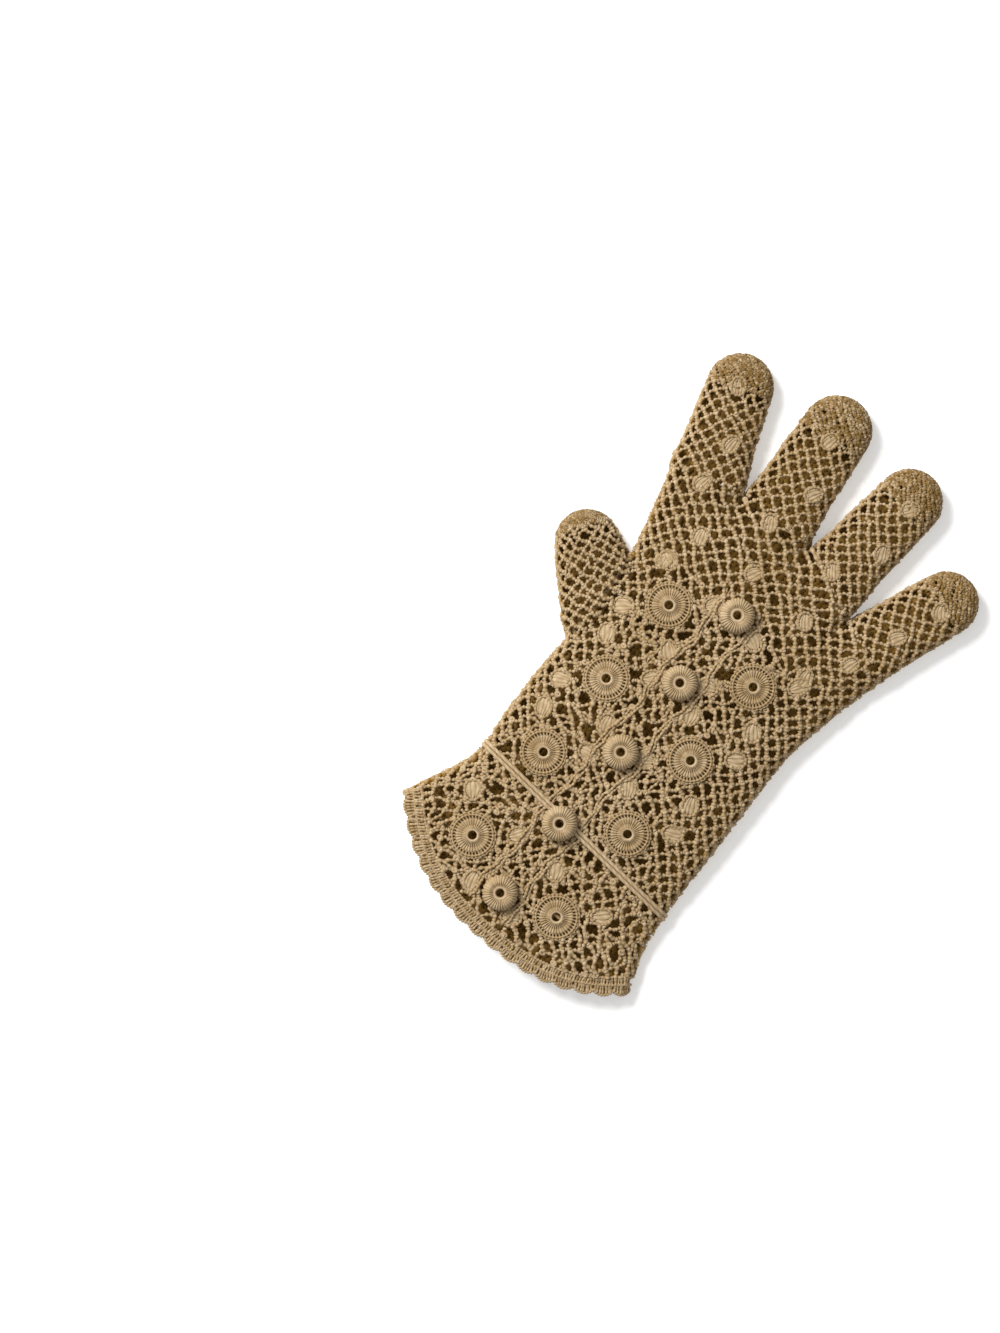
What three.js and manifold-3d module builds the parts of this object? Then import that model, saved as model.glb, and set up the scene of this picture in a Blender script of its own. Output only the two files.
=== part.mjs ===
// A crocheted lace glove for the right hand, lying palm down.
// Millimetres, +Z up, fingers towards +Y, thumb towards -X.
// The model is drawn from the middle of the wrist and then moved, so that the origin
// lies under the middle of the whole glove, on the surface that it rests on.
import * as THREE from 'three';
import { mergeVertices } from 'three/addons/utils/BufferGeometryUtils.js';
import Module from 'manifold-3d';

const wasm = await Module();
wasm.setup();

// Cloth, and the gap between neighbouring pieces
const wall = 1.8;
const seam = 0.3;

// Hand, from the wrist to the roots of the fingers
const palmWidth = 93;
const palmHeight = 14;
const handLength = 118;

// Wrist and cuff
const wristWidth = 91;
const wristHeight = 11.5;
const wristTilt = -0.067;
const cuffLength = 52;
const cuffWidth = 114;
const hemHeight = 10.5;
const hemRise = 22;
const hemBend = 2.6;

// Wrist cord, two strands side by side
const strandDiameter = 1.5;
const cordProud = 0.6;

// Scalloped edging
const edgingWidth = 5.5;
const scallopPitch = 7.75;
const scallopDepth = 1.1;

// Fingers and thumb
const indexLength = 44.5;
const indexWidth = 25.6;
const middleLength = 51.8;
const middleWidth = 27;
const ringLength = 53.6;
const ringWidth = 25.4;
const littleLength = 46;
const littleWidth = 24.4;
const fingerHeight = 10.5;
const fingerRootDepth = 30;
const thumbLength = 36.5;
const thumbWidth = 23.6;
const thumbHeight = 10.5;
const thumbRootDepth = 12;

// Rosettes and buttons
const rosetteDiameter = 16.6;
const rosetteProud = 0.5;
const eyeletDiameter = 2.6;
const eyeletLip = 1.3;
const buttonDiameter = 13.3;
const buttonHeight = 4.2;

// Net
const netHole = 6.2;
const netPitch = 17.2;
const netMargin = 1.6;
const fingerNetPitch = 8.6;

// Faces round the turned pieces and round a cross-section of the glove
const roundSides = 12;
const sectionSides = 14;

// A cross-section of the glove: how square it is, how high its widest part lies as a share
// of its height, and how far its flat underside reaches, as the sine where it turns up.
const squareness = 2.5;
const widestAt = 0.36;
const restReach = 0.78;

// Outline from beyond the hem to the wrist. Along is a share of the cuff's length, left and
// right are shares of half its width, height is a share of the hem's height.
const cuffSections = [
  { along: 1.25, left: 1.26, right: 1.13, height: 0.95 },
  { along: 0.58, left: 1.025, right: 0.956, height: 1.0 },
  { along: 0.2, left: 0.863, right: 0.842, height: 1.06 },
];

// Outline from the wrist to the web between the fingers. Along is a share of the hand's
// length, left and right are shares of half the palm's width, height of the palm's height.
const handSections = [
  { along: 0.1, left: 1.03, right: 0.965, height: 0.93 },
  { along: 0.3, left: 1.06, right: 0.945, height: 1.0 },
  { along: 0.6, left: 1.04, right: 0.9, height: 0.98 },
  { along: 0.8, left: 1.11, right: 0.98, height: 0.93 },
  { along: 1.0, left: 1.16, right: 1.07, height: 0.82 },
  { along: 1.09, left: 1.14, right: 0.5, height: 0.52 },
];

// Fingers and thumb. Across is a share of half the palm's width and along a share of the
// hand's length, both at the middle of the root. Lean is in degrees towards the thumb, and
// root is the root's width as a share of the finger's width.
const fingers = [
  { name: 'index_finger', across: -1.05, along: 1.135, lean: 20.5, root: 1.16,
    length: indexLength, width: indexWidth },
  { name: 'middle_finger', across: -0.39, along: 1.155, lean: 6.4, root: 1.13,
    length: middleLength, width: middleWidth },
  { name: 'ring_finger', across: 0.258, along: 1.11, lean: -4.3, root: 1.14,
    length: ringLength, width: ringWidth },
  { name: 'little_finger', across: 0.828, along: 1.02, lean: -19.2, root: 1.07,
    length: littleLength, width: littleWidth },
];
const thumb = { name: 'thumb', across: -0.96, along: 0.59, lean: 56, root: 1.72,
  length: thumbLength, width: thumbWidth };

// How much of the root's extra width is left at shares of a finger's length.
const fingerTaper = [
  { along: 0.0, extra: 1.0 },
  { along: 0.25, extra: 0.2 },
  { along: 0.7, extra: 0.0 },
];

// A fingertip: its length as a share of the finger's width, the degrees of its turn that
// have a ring, and how low it gets, both as shares of the finger's height.
const tipLength = 0.46;
const tipTurns = [0, 42, 74];
const tipHeight = 0.36;
const tipLift = 0.22;

// Where neighbouring fingers part, and the ends of the thumb's seam, across as shares of
// half the palm's width and along as shares of the hand's length.
const partings = [
  { across: -0.72, along: 1.148 },
  { across: -0.06, along: 1.16 },
  { across: 0.563, along: 1.052 },
];
const thumbSeam = [
  { across: -1.045, along: 0.38 },
  { across: -1.1, along: 0.772 },
  { across: -1.4, along: 0.9 },
];

// Rows of motifs on the back, as shares of the hand's length or, below the wrist, of the
// cuff's. The middle column stands at motifAxis, a share of half the palm's width, and the
// columns of rosettes at a distance of rosetteColumn to both sides of it.
const motifAxis = -0.135;
const rosetteColumn = 0.462;
const rosetteRows = [
  { along: 0.708, of: handLength },
  { along: 0.408, of: handLength },
  { along: 0.107, of: handLength },
  { along: -0.531, of: cuffLength },
];
const buttonRows = [
  { along: 0.831, of: handLength },
  { along: 0.557, of: handLength },
  { along: 0.275, of: handLength },
  { along: -0.038, of: cuffLength },
  { along: -0.685, of: cuffLength },
];

const laceColour = 0xb9986b;
const edgingColour = 0xc2a277;
const motifColour = 0xc4a479;
const cordColour = 0xc8ab7f;
const laceRoughness = 0.85;
const cordRoughness = 0.75;

const halfPalm = palmWidth / 2;
const halfCuff = cuffWidth / 2;
const halfWrist = wristWidth / 2;
const cordWidth = 2 * strandDiameter;
const beyond = 3 * (handLength + cuffLength);

const spotOnHand = ({ across, along }) => new THREE.Vector2(across * halfPalm, along * handLength);

function signedVolume(vertices, triangles) {
  const [a, b, c] = [new THREE.Vector3(), new THREE.Vector3(), new THREE.Vector3()];
  let sum = 0;
  for (let i = 0; i < triangles.length; i += 3) {
    a.fromArray(vertices, 3 * triangles[i]);
    b.fromArray(vertices, 3 * triangles[i + 1]);
    c.fromArray(vertices, 3 * triangles[i + 2]);
    sum += a.dot(b.cross(c)) / 6;
  }
  return sum;
}

// Makes a solid of a closed geometry, turned so that its faces point outwards.
function solid(geometry) {
  const bare = geometry.clone();
  bare.deleteAttribute('normal');
  bare.deleteAttribute('uv');
  const merged = mergeVertices(bare, 1e-4);
  const vertProperties = new Float32Array(merged.attributes.position.array);
  const triVerts = new Uint32Array(merged.index.array);
  if (signedVolume(vertProperties, triVerts) < 0) {
    for (let i = 0; i < triVerts.length; i += 3) {
      [triVerts[i], triVerts[i + 1]] = [triVerts[i + 1], triVerts[i]];
    }
  }
  return new wasm.Manifold(new wasm.Mesh({ numProp: 3, vertProperties, triVerts }));
}

function geometryOf(manifold) {
  const mesh = manifold.getMesh();
  const positions = new Float32Array(mesh.numVert * 3);
  for (let i = 0; i < mesh.numVert; i += 1) {
    positions.set(mesh.vertProperties.subarray(i * mesh.numProp, i * mesh.numProp + 3), 3 * i);
  }
  const geometry = new THREE.BufferGeometry();
  geometry.setAttribute('position', new THREE.BufferAttribute(positions, 3));
  geometry.setIndex(new THREE.BufferAttribute(new Uint32Array(mesh.triVerts), 1));
  geometry.computeVertexNormals();
  return geometry;
}

// Joins rings of equally many points by strips of triangles. The ends are capped, or else
// the last ring joins the first.
function loft(rings, closed = false) {
  const count = rings[0].length;
  const indices = [];
  const strips = closed ? rings.length : rings.length - 1;
  for (let row = 0; row < strips; row += 1) {
    const low = row * count;
    const high = ((row + 1) % rings.length) * count;
    for (let i = 0; i < count; i += 1) {
      const next = (i + 1) % count;
      indices.push(low + i, low + next, high + next, low + i, high + next, high + i);
    }
  }
  const last = (rings.length - 1) * count;
  for (let i = 1; i < count - 1 && !closed; i += 1) {
    indices.push(0, i + 1, i, last, last + i, last + i + 1);
  }
  const geometry = new THREE.BufferGeometry();
  const positions = rings.flat().flatMap((point) => point.toArray());
  geometry.setAttribute('position', new THREE.Float32BufferAttribute(positions, 3));
  geometry.setIndex(indices);
  return solid(geometry);
}

// A flat outline carried upright through the whole height of the glove.
function prism(points) {
  const reach = 3 * palmHeight;
  const outline = new THREE.Shape(points);
  const geometry = new THREE.ExtrudeGeometry(outline, { depth: 2 * reach, bevelEnabled: false });
  geometry.translate(0, 0, -reach);
  return solid(geometry);
}

// Height of the back as a share, at a share of the half width: a low crown.
function crownAt(share) {
  const rise = (1 - Math.min(1, Math.abs(share)) ** squareness) ** (1 / squareness);
  return widestAt + (1 - widestAt) * rise;
}

// One cross-section, as pairs of a sideways share and a height share: a crowned back, sides
// that turn in below the widest part, and a flat underside.
function sectionShares() {
  return Array.from({ length: sectionSides }, (_, i) => {
    const angle = (2 * Math.PI * (i + 0.5)) / sectionSides;
    const [cosine, sine] = [Math.cos(angle), Math.sin(angle)];
    const across = Math.sign(cosine) * Math.abs(cosine) ** (2 / squareness);
    const under = widestAt * Math.max(0, 1 - (-sine / restReach) ** (2 / squareness));
    return [across, sine > 0 ? crownAt(across) : under];
  });
}

// A ring of the glove's skin: place turns a sideways distance into a spot of the plan.
function sectionRing(place, halfWidth, low, height) {
  return sectionShares().map(([across, up]) => {
    const spot = place(halfWidth * across);
    return new THREE.Vector3(spot.x, spot.y, low + height * up);
  });
}

// Rows of the body's outline in millimetres, from the hem to the fingers.
function bodyRows() {
  const rowOf = (row, sign, length, half, height) => ({
    y: sign * row.along * length,
    left: -row.left * half,
    right: row.right * half,
    height: row.height * height,
  });
  return [
    ...cuffSections.map((row) => rowOf(row, -1, cuffLength, halfCuff, hemHeight)),
    { y: 0, left: -halfWrist, right: halfWrist, height: wristHeight },
    ...handSections.map((row) => rowOf(row, 1, handLength, halfPalm, palmHeight)),
  ];
}

// The body's outer form, or with an inset of a wall the hollow inside it, which runs out
// through the hem and stops a wall short of the fingers' web.
function bodyForm(inset) {
  return loft(bodyRows().map((row, i, rows) => {
    const middle = (row.left + row.right) / 2;
    const y = i === 0 || i === rows.length - 1 ? row.y - inset : row.y;
    const place = (sideways) => new THREE.Vector2(middle + sideways, y + wristTilt * middle);
    return sectionRing(place, (row.right - row.left) / 2 - inset, inset, row.height - 2 * inset);
  }));
}

// Height of the back over a spot of the plan.
function backHeight(x, y) {
  const rows = bodyRows();
  let i = 0;
  while (i < rows.length - 2 && rows[i + 1].y < y) i += 1;
  const share = THREE.MathUtils.clamp((y - rows[i].y) / (rows[i + 1].y - rows[i].y), 0, 1);
  const at = (key) => THREE.MathUtils.lerp(rows[i][key], rows[i + 1][key], share);
  return at('height') * crownAt((2 * x - at('left') - at('right')) / (at('right') - at('left')));
}

const leaning = (degrees) => {
  const lean = THREE.MathUtils.degToRad(degrees);
  return new THREE.Vector2(-Math.sin(lean), Math.cos(lean));
};

// The spot of the plan at a distance along a finger from its root, and to the side of it.
function fingerSpot(finger, distance, sideways) {
  const along = leaning(finger.lean);
  const across = new THREE.Vector2(along.y, -along.x);
  return spotOnHand(finger).addScaledVector(along, distance).addScaledVector(across, sideways);
}

function fingerHalfWidth(finger, distance) {
  const share = THREE.MathUtils.clamp(distance / finger.length, 0, fingerTaper.at(-1).along);
  const high = fingerTaper.findIndex((row, i) => i > 0 && row.along >= share);
  const [from, to] = [fingerTaper[high - 1], fingerTaper[high]];
  const extra = THREE.MathUtils.mapLinear(share, from.along, to.along, from.extra, to.extra);
  return (finger.width / 2) * (1 + (finger.root - 1) * extra);
}

// A finger's outer form, or with an inset the hollow inside it: a straight run from inside
// the hand, and a tip that closes as part of an ellipse.
function fingerForm(finger, inset) {
  const isThumb = finger === thumb;
  const height = (isThumb ? thumbHeight : fingerHeight) - 2 * inset;
  const tip = tipLength * finger.width;
  const runs = [isThumb ? -thumbRootDepth : -fingerRootDepth, 0, fingerTaper[1].along * finger.length];
  const rows = runs.map((distance) => ({ distance, shrink: 1 }));
  for (const degrees of tipTurns) {
    const turn = THREE.MathUtils.degToRad(degrees);
    rows.push({ distance: finger.length - tip + (tip - inset) * Math.sin(turn), shrink: Math.cos(turn) });
  }
  return loft(rows.map(({ distance, shrink }) => {
    const place = (sideways) => fingerSpot(finger, distance, sideways);
    const half = (fingerHalfWidth(finger, distance) - inset) * shrink;
    const low = inset + tipLift * height * (1 - shrink);
    return sectionRing(place, half, low, height * (tipHeight + (1 - tipHeight) * shrink));
  }));
}

const gloveForm = (inset) => {
  return [...fingers, thumb].reduce((form, finger) => form.add(fingerForm(finger, inset)), bodyForm(inset));
};

// Distance along the hand of the hem's curve at a sideways distance, lowest at the middle.
const hemAt = (x) => hemRise * Math.abs(x / halfCuff) ** hemBend - cuffLength;

// Points of the hem's curve from the thumb's side to the other, spread evenly and moved
// inwards by a depth that may change from point to point.
function hemLine(count, depthOf) {
  const reach = 1.15 * halfCuff;
  const guides = 16;
  const points = Array.from({ length: guides + 1 }, (_, i) => {
    const x = reach * ((2 * i) / guides - 1);
    return new THREE.Vector2(x, hemAt(x));
  });
  const curve = new THREE.SplineCurve(points);
  return Array.from({ length: count + 1 }, (_, i) => {
    const tangent = curve.getTangentAt(i / count);
    return curve.getPointAt(i / count).addScaledVector(new THREE.Vector2(-tangent.y, tangent.x), depthOf(i));
  });
}

// The straight line across the wrist, moved along the hand by an offset.
function wristLine(offset) {
  return [-1, 1].map((side) => new THREE.Vector2(side * cuffWidth, offset + side * wristTilt * cuffWidth));
}

// A narrow cut along a straight line from one spot to another.
function cutAlong(from, to) {
  const side = to.clone().sub(from).normalize();
  const out = new THREE.Vector2(-side.y, side.x).multiplyScalar(seam / 2);
  return prism([from.clone().sub(out), to.clone().sub(out), to.clone().add(out), from.clone().add(out)]);
}

// The line that parts the fingers from the hand: through the crotches, and square across
// the outer fingers.
function knuckleLine() {
  const crotches = partings.map(spotOnHand);
  const [first, last] = [fingers[0], fingers.at(-1)];
  const square = (finger, from, side) => {
    const along = leaning(finger.lean);
    const reach = side * 1.4 * finger.width;
    return from.clone().addScaledVector(new THREE.Vector2(along.y, -along.x), reach);
  };
  return [square(first, crotches[0], -1), ...crotches, square(last, crotches.at(-1), 1)];
}

// The far end of the line up from a crotch, halfway between the leans of its two fingers.
function partingEnd(i) {
  const lean = (fingers[i].lean + fingers[i + 1].lean) / 2;
  return spotOnHand(partings[i]).addScaledVector(leaning(lean), beyond);
}

// Places of the rosettes and buttons, level with the tilted wrist.
const motifSpot = (name, row, column) => {
  const x = (motifAxis + column) * halfPalm;
  return { name, x, y: row.along * row.of + wristTilt * x };
};
const rosettes = [-rosetteColumn, rosetteColumn].flatMap((column, side) => {
  return rosetteRows.map((row, i) => motifSpot(`rosette_${side * rosetteRows.length + i + 1}`, row, column));
});
const buttons = buttonRows.map((row, i) => motifSpot(`button_${i + 1}`, row, 0));

// The place and turn of something that lies flat on the back, lifted off it by a distance.
function seatOnBack(spot, lift) {
  const step = eyeletDiameter;
  const slopeX = (backHeight(spot.x + step, spot.y) - backHeight(spot.x - step, spot.y)) / (2 * step);
  const slopeY = (backHeight(spot.x, spot.y + step) - backHeight(spot.x, spot.y - step)) / (2 * step);
  const normal = new THREE.Vector3(-slopeX, -slopeY, 1).normalize();
  const seat = new THREE.Object3D();
  seat.quaternion.setFromUnitVectors(new THREE.Vector3(0, 0, 1), normal);
  seat.position.set(spot.x, spot.y, backHeight(spot.x, spot.y)).addScaledVector(normal, lift);
  seat.updateMatrixWorld();
  return seat;
}

// Turns a closed profile of radius and height pairs about the upright axis.
function turned(points) {
  const profile = [...points, points[0]].map(([radius, height]) => new THREE.Vector2(radius, height));
  const geometry = new THREE.LatheGeometry(profile, roundSides);
  geometry.rotateX(Math.PI / 2);
  return geometry;
}

// A flat rosette with a raised eyelet, as thick as the cloth that it is worked into.
function rosetteGeometry() {
  const [eye, rim] = [eyeletDiameter / 2, rosetteDiameter / 2];
  return turned([
    [eye, 0],
    [rim, 0],
    [rim, wall - rosetteProud],
    [0.78 * rim, wall + rosetteProud],
    [THREE.MathUtils.lerp(eye, rim, 0.24), wall],
    [THREE.MathUtils.lerp(eye, rim, 0.06), wall + eyeletLip],
  ]);
}

// A padded button: a dome with an eyelet through its middle.
function buttonGeometry() {
  const [eye, rim] = [eyeletDiameter / 2, buttonDiameter / 2];
  return turned([
    [eye, 0],
    [0.86 * rim, 0],
    [rim, 0.26 * buttonHeight],
    [0.82 * rim, 0.76 * buttonHeight],
    [THREE.MathUtils.lerp(eye, rim, 0.35), buttonHeight],
    [eye, 0.75 * buttonHeight],
  ]);
}

// The round window that a rosette is set into, through the back alone.
function rosetteWindow(spot) {
  const radius = rosetteDiameter / 2 + seam;
  const depth = 3 * wall;
  const geometry = new THREE.CylinderGeometry(radius, radius, depth, roundSides);
  geometry.rotateX(Math.PI / 2);
  geometry.applyMatrix4(seatOnBack(spot, depth / 2 - wall - seam).matrixWorld);
  return solid(geometry);
}

// A diamond hole of the net, upright through back and palm, turned with its finger.
function netHolePrism(spot, lean) {
  const corners = [0, 90, 180, 270].map((turn) => leaning(lean + turn).multiplyScalar(netHole / 2).add(spot));
  return prism(corners);
}

function clearOfMotifs(spot) {
  const reach = netHole / 2 + netMargin;
  const clearOf = (motif, diameter) => Math.hypot(spot.x - motif.x, spot.y - motif.y) > diameter / 2 + reach;
  return rosettes.every((motif) => clearOf(motif, rosetteDiameter))
    && buttons.every((motif) => clearOf(motif, buttonDiameter - netMargin));
}

// The net's holes over hand and cuff, in rows that are set off by half a pitch.
function bodyNetHoles() {
  const prisms = [];
  const edge = netHole / 2 + 2 * netMargin;
  const rows = bodyRows();
  const columns = Math.ceil(cuffWidth / netPitch);
  for (let row = 0; (row * netPitch) / 2 < cuffLength + handLength; row += 1) {
    const y = (row * netPitch) / 2 - cuffLength;
    const next = Math.max(1, rows.findIndex((section) => section.y > y));
    const share = (y - rows[next - 1].y) / (rows[next].y - rows[next - 1].y);
    const left = THREE.MathUtils.lerp(rows[next - 1].left, rows[next].left, share);
    const right = THREE.MathUtils.lerp(rows[next - 1].right, rows[next].right, share);
    for (let i = -columns; i <= columns; i += 1) {
      const spot = new THREE.Vector2(motifAxis * halfPalm + (i + 0.5 * (row % 2)) * netPitch, y);
      const inside = spot.x > left + edge && spot.x < right - edge;
      const offHem = y > hemAt(spot.x) + edgingWidth + edge && y < handLength - edge;
      const offWrist = Math.abs(y - wristTilt * spot.x) > cordWidth / 2 + edge;
      if (inside && offHem && offWrist && clearOfMotifs(spot)) prisms.push(netHolePrism(spot, 0));
    }
  }
  return prisms;
}

// The net's holes along a finger, two and one by turns.
function fingerNetHoles(finger) {
  const prisms = [];
  const first = netHole / 2 + netMargin;
  const last = finger.length - tipLength * finger.width;
  for (let row = 0; first + row * fingerNetPitch < last; row += 1) {
    for (const side of row % 2 === 0 ? [-1, 1] : [0]) {
      const spot = fingerSpot(finger, first + row * fingerNetPitch, side * 0.22 * finger.width);
      prisms.push(netHolePrism(spot, finger.lean));
    }
  }
  return prisms;
}

// The cord as one ring: the strands' two round backs outside, and a flat inner face level
// with the cloth's. Along is a share of half the cord's width, out a share of its bulge.
function cordRing() {
  const backs = [
    { along: -1, out: 0 },
    { along: -0.75, out: 0.8 },
    { along: -0.45, out: 1 },
    { along: 0, out: 0.45 },
    { along: 0.45, out: 1 },
    { along: 0.75, out: 0.8 },
    { along: 1, out: 0 },
  ];
  const profile = backs.map((row) => ({ y: (row.along * cordWidth) / 2, out: row.out * cordProud }));
  profile.push({ y: cordWidth / 2, out: -wall }, { y: -cordWidth / 2, out: -wall });
  const rings = profile.map(({ y, out }) => {
    const low = Math.max(0, -out);
    const place = (sideways) => new THREE.Vector2(sideways, y + wristTilt * sideways);
    return sectionRing(place, halfWrist + out, low, wristHeight + out - low);
  });
  return loft(rings, true);
}

const glove = new THREE.Group();
glove.name = 'crochet_glove';

function addPiece(name, geometry, color, roughness) {
  const mesh = new THREE.Mesh(geometry, new THREE.MeshStandardMaterial({ color, roughness, metalness: 0 }));
  mesh.name = name;
  glove.add(mesh);
  return mesh;
}

// The seams between the hand, the fingers and the thumb.
const knuckles = knuckleLine();
const [thumbLow, thumbHigh, thumbOuter] = thumbSeam.map(spotOnHand);
const seams = [
  cutAlong(thumbLow, thumbHigh),
  ...knuckles.slice(1).map((spot, i) => cutAlong(knuckles[i], spot)),
  ...partings.map((parting, i) => cutAlong(spotOnHand(parting), partingEnd(i))),
];
const hollow = gloveForm(wall);

// Adds a piece of the skin: the part of a form inside a zone of the plan, without the
// hollow, the seams and its own holes.
function addSkin(name, form, zone, holes, colour = laceColour) {
  const piece = [hollow, ...seams, ...holes].reduce((rest, cut) => rest.subtract(cut), form.intersect(zone));
  addPiece(name, geometryOf(piece), colour, laceRoughness);
}

// Fingers and thumb
fingers.forEach((finger, i) => {
  const left = i === 0 ? new THREE.Vector2(-beyond, beyond) : partingEnd(i - 1);
  const right = i === fingers.length - 1 ? new THREE.Vector2(beyond, beyond) : partingEnd(i);
  const zone = prism([knuckles[i], knuckles[i + 1], right, left]);
  addSkin(finger.name, fingerForm(finger, 0), zone, fingerNetHoles(finger));
});
const thumbZone = prism([
  thumbLow,
  thumbHigh,
  thumbOuter,
  new THREE.Vector2(-beyond, thumbOuter.y),
  new THREE.Vector2(-beyond, thumbLow.y),
]);
addSkin(thumb.name, fingerForm(thumb, 0), thumbZone, fingerNetHoles(thumb));

// Hand and cuff
const whole = gloveForm(0);
const backHoles = [...rosettes.map(rosetteWindow), ...bodyNetHoles()];
const handZone = prism([
  ...wristLine(cordWidth / 2 + seam),
  new THREE.Vector2(beyond, knuckles.at(-1).y),
  ...knuckles.toReversed(),
  new THREE.Vector2(-beyond, knuckles[0].y),
]);
addSkin('hand', whole, handZone.subtract(thumbZone), backHoles);
const cuffZone = prism([...hemLine(16, () => edgingWidth), ...wristLine(-cordWidth / 2 - seam).toReversed()]);
addSkin('cuff', whole, cuffZone, backHoles);

// Scalloped edging: three points to a scallop, the first of them drawn in
const scallops = Math.round((1.3 * cuffWidth) / scallopPitch);
const scallopedEdge = hemLine(3 * scallops, (i) => (i % 3 === 0 ? scallopDepth : 0));
const edgingZone = prism([...scallopedEdge, ...hemLine(16, () => edgingWidth - seam).reverse()]);
addSkin('cuff_edging', whole, edgingZone, [], edgingColour);

addPiece('wrist_cord', geometryOf(cordRing()), cordColour, cordRoughness);

// Rosettes in their windows, and buttons on the net or on the cord
function addMotif(spot, geometry, lift) {
  const mesh = addPiece(spot.name, geometry, motifColour, laceRoughness);
  const seat = seatOnBack(spot, lift);
  mesh.position.copy(seat.position);
  mesh.quaternion.copy(seat.quaternion);
}
for (const spot of rosettes) {
  addMotif(spot, rosetteGeometry(), -wall);
}
for (const spot of buttons) {
  const overCord = Math.abs(spot.y - wristTilt * spot.x) < (cordWidth + buttonDiameter) / 2;
  addMotif(spot, buttonGeometry(), seam + (overCord ? cordProud : 0));
}

// Moves the glove so that the origin lies under the middle of its box.
const box = new THREE.Box3().setFromObject(glove);
glove.position.set(-(box.min.x + box.max.x) / 2, -(box.min.y + box.max.y) / 2, -box.min.z);

export default glove;
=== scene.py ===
# A crocheted lace glove lying palm down: every thread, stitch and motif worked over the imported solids.
# Lengths are in millimetres from the middle of the wrist until a mesh is made: +Y runs towards the
# fingers, -X towards the thumb, and +Z up from the floor.
import math

import bpy
import numpy as np
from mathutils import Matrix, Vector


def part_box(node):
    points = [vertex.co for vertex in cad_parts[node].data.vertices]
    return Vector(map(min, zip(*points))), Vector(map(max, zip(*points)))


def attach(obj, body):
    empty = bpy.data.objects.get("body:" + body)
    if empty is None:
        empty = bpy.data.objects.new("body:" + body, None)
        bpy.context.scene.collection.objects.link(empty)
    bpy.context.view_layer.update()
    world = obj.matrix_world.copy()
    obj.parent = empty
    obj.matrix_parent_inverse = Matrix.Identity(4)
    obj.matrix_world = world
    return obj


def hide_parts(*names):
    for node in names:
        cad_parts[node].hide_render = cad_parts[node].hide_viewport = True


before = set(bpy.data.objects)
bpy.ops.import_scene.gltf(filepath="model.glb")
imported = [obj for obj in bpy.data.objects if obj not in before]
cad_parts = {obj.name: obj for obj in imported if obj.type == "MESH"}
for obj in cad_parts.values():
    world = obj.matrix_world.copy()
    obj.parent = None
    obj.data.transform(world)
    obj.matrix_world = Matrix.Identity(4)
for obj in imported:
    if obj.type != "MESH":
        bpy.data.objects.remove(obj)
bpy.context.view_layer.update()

MM = 0.001

# Cloth of the glove, as in the solids
WALL = 1.8
SEAM = 0.3
WRIST_TILT = -0.067
CUFF_LENGTH = 52
HALF_CUFF = 57
HEM_RISE = 22
HEM_BEND = 2.6
CORD_RADIUS = 0.75
CORD_PROUD = 0.6
EDGING_WIDTH = 5.5
SCALLOP_PITCH = 7.75

# A cross-section: how square it is, how high its widest part lies as a share of its height,
# and the sine at which its flat underside turns up
SQUARENESS = 2.5
WIDEST_AT = 0.36
REST_REACH = 0.78

# Outline of cuff and hand: distance along the hand, thumb side, little finger's side and height
OUTLINE = [
    (-80.0, -78.0, 68.0, 9.8),
    (-65.0, -71.8, 64.4, 10.0),
    (-30.2, -58.4, 54.0, 10.5),
    (-21.0, -54.1, 48.4, 10.8),
    (-10.4, -49.2, 46.8, 11.1),
    (0.0, -45.5, 45.5, 11.5),
    (11.8, -47.9, 44.9, 13.0),
    (35.4, -49.3, 43.9, 14.0),
    (70.8, -48.4, 41.9, 13.7),
    (94.4, -51.6, 45.6, 13.0),
    (118.0, -58.4, 51.4, 11.5),
    (150.0, -70.0, 62.0, 11.0),
]

# Fingers and thumb: root, lean towards the thumb in degrees, length, width, the root's width as a
# share of the finger's, how many cells the net has all round, and how far the dense work of the
# tip reaches
FINGER_HEIGHT = 10.5
FINGERS = {
    "index_finger": ((-48.8, 133.9), 20.5, 44.5, 25.6, 1.16, 12, 13.5),
    "middle_finger": ((-18.1, 136.3), 6.4, 51.8, 27.0, 1.13, 12, 18),
    "ring_finger": ((12.0, 131.0), -4.3, 53.6, 25.4, 1.14, 12, 15.5),
    "little_finger": ((38.5, 120.4), -19.2, 46.0, 24.4, 1.07, 11, 14.5),
}
THUMB = ((-44.6, 69.6), 56.0, 37.5, 24.4, 1.4, 14, 6)
FINGER_ROOT_DEPTH = 12
THUMB_ROOT_DEPTH = 12
FINGER_TAPER = ((0.0, 0.25, 0.7), (1.0, 0.2, 0.0))
THUMB_TAPER = ((0.0, 0.75), (1.0, 0.0))
TIP_LENGTH = 0.46
TIP_HEIGHT = 0.36
TIP_LIFT = 0.22
TIP_END = math.radians(82)
TIP_NARROWING = 0.05

# The line where the fingers leave the hand, its three inner points being the crotches, and the
# line where the thumb does
KNUCKLES = [(-67.0, 122.9), (-33.5, 135.5), (-2.8, 136.9), (26.2, 124.1), (58.5, 112.9)]
THUMB_SEAM = [(-48.6, 44.8), (-51.2, 91.1)]

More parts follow.
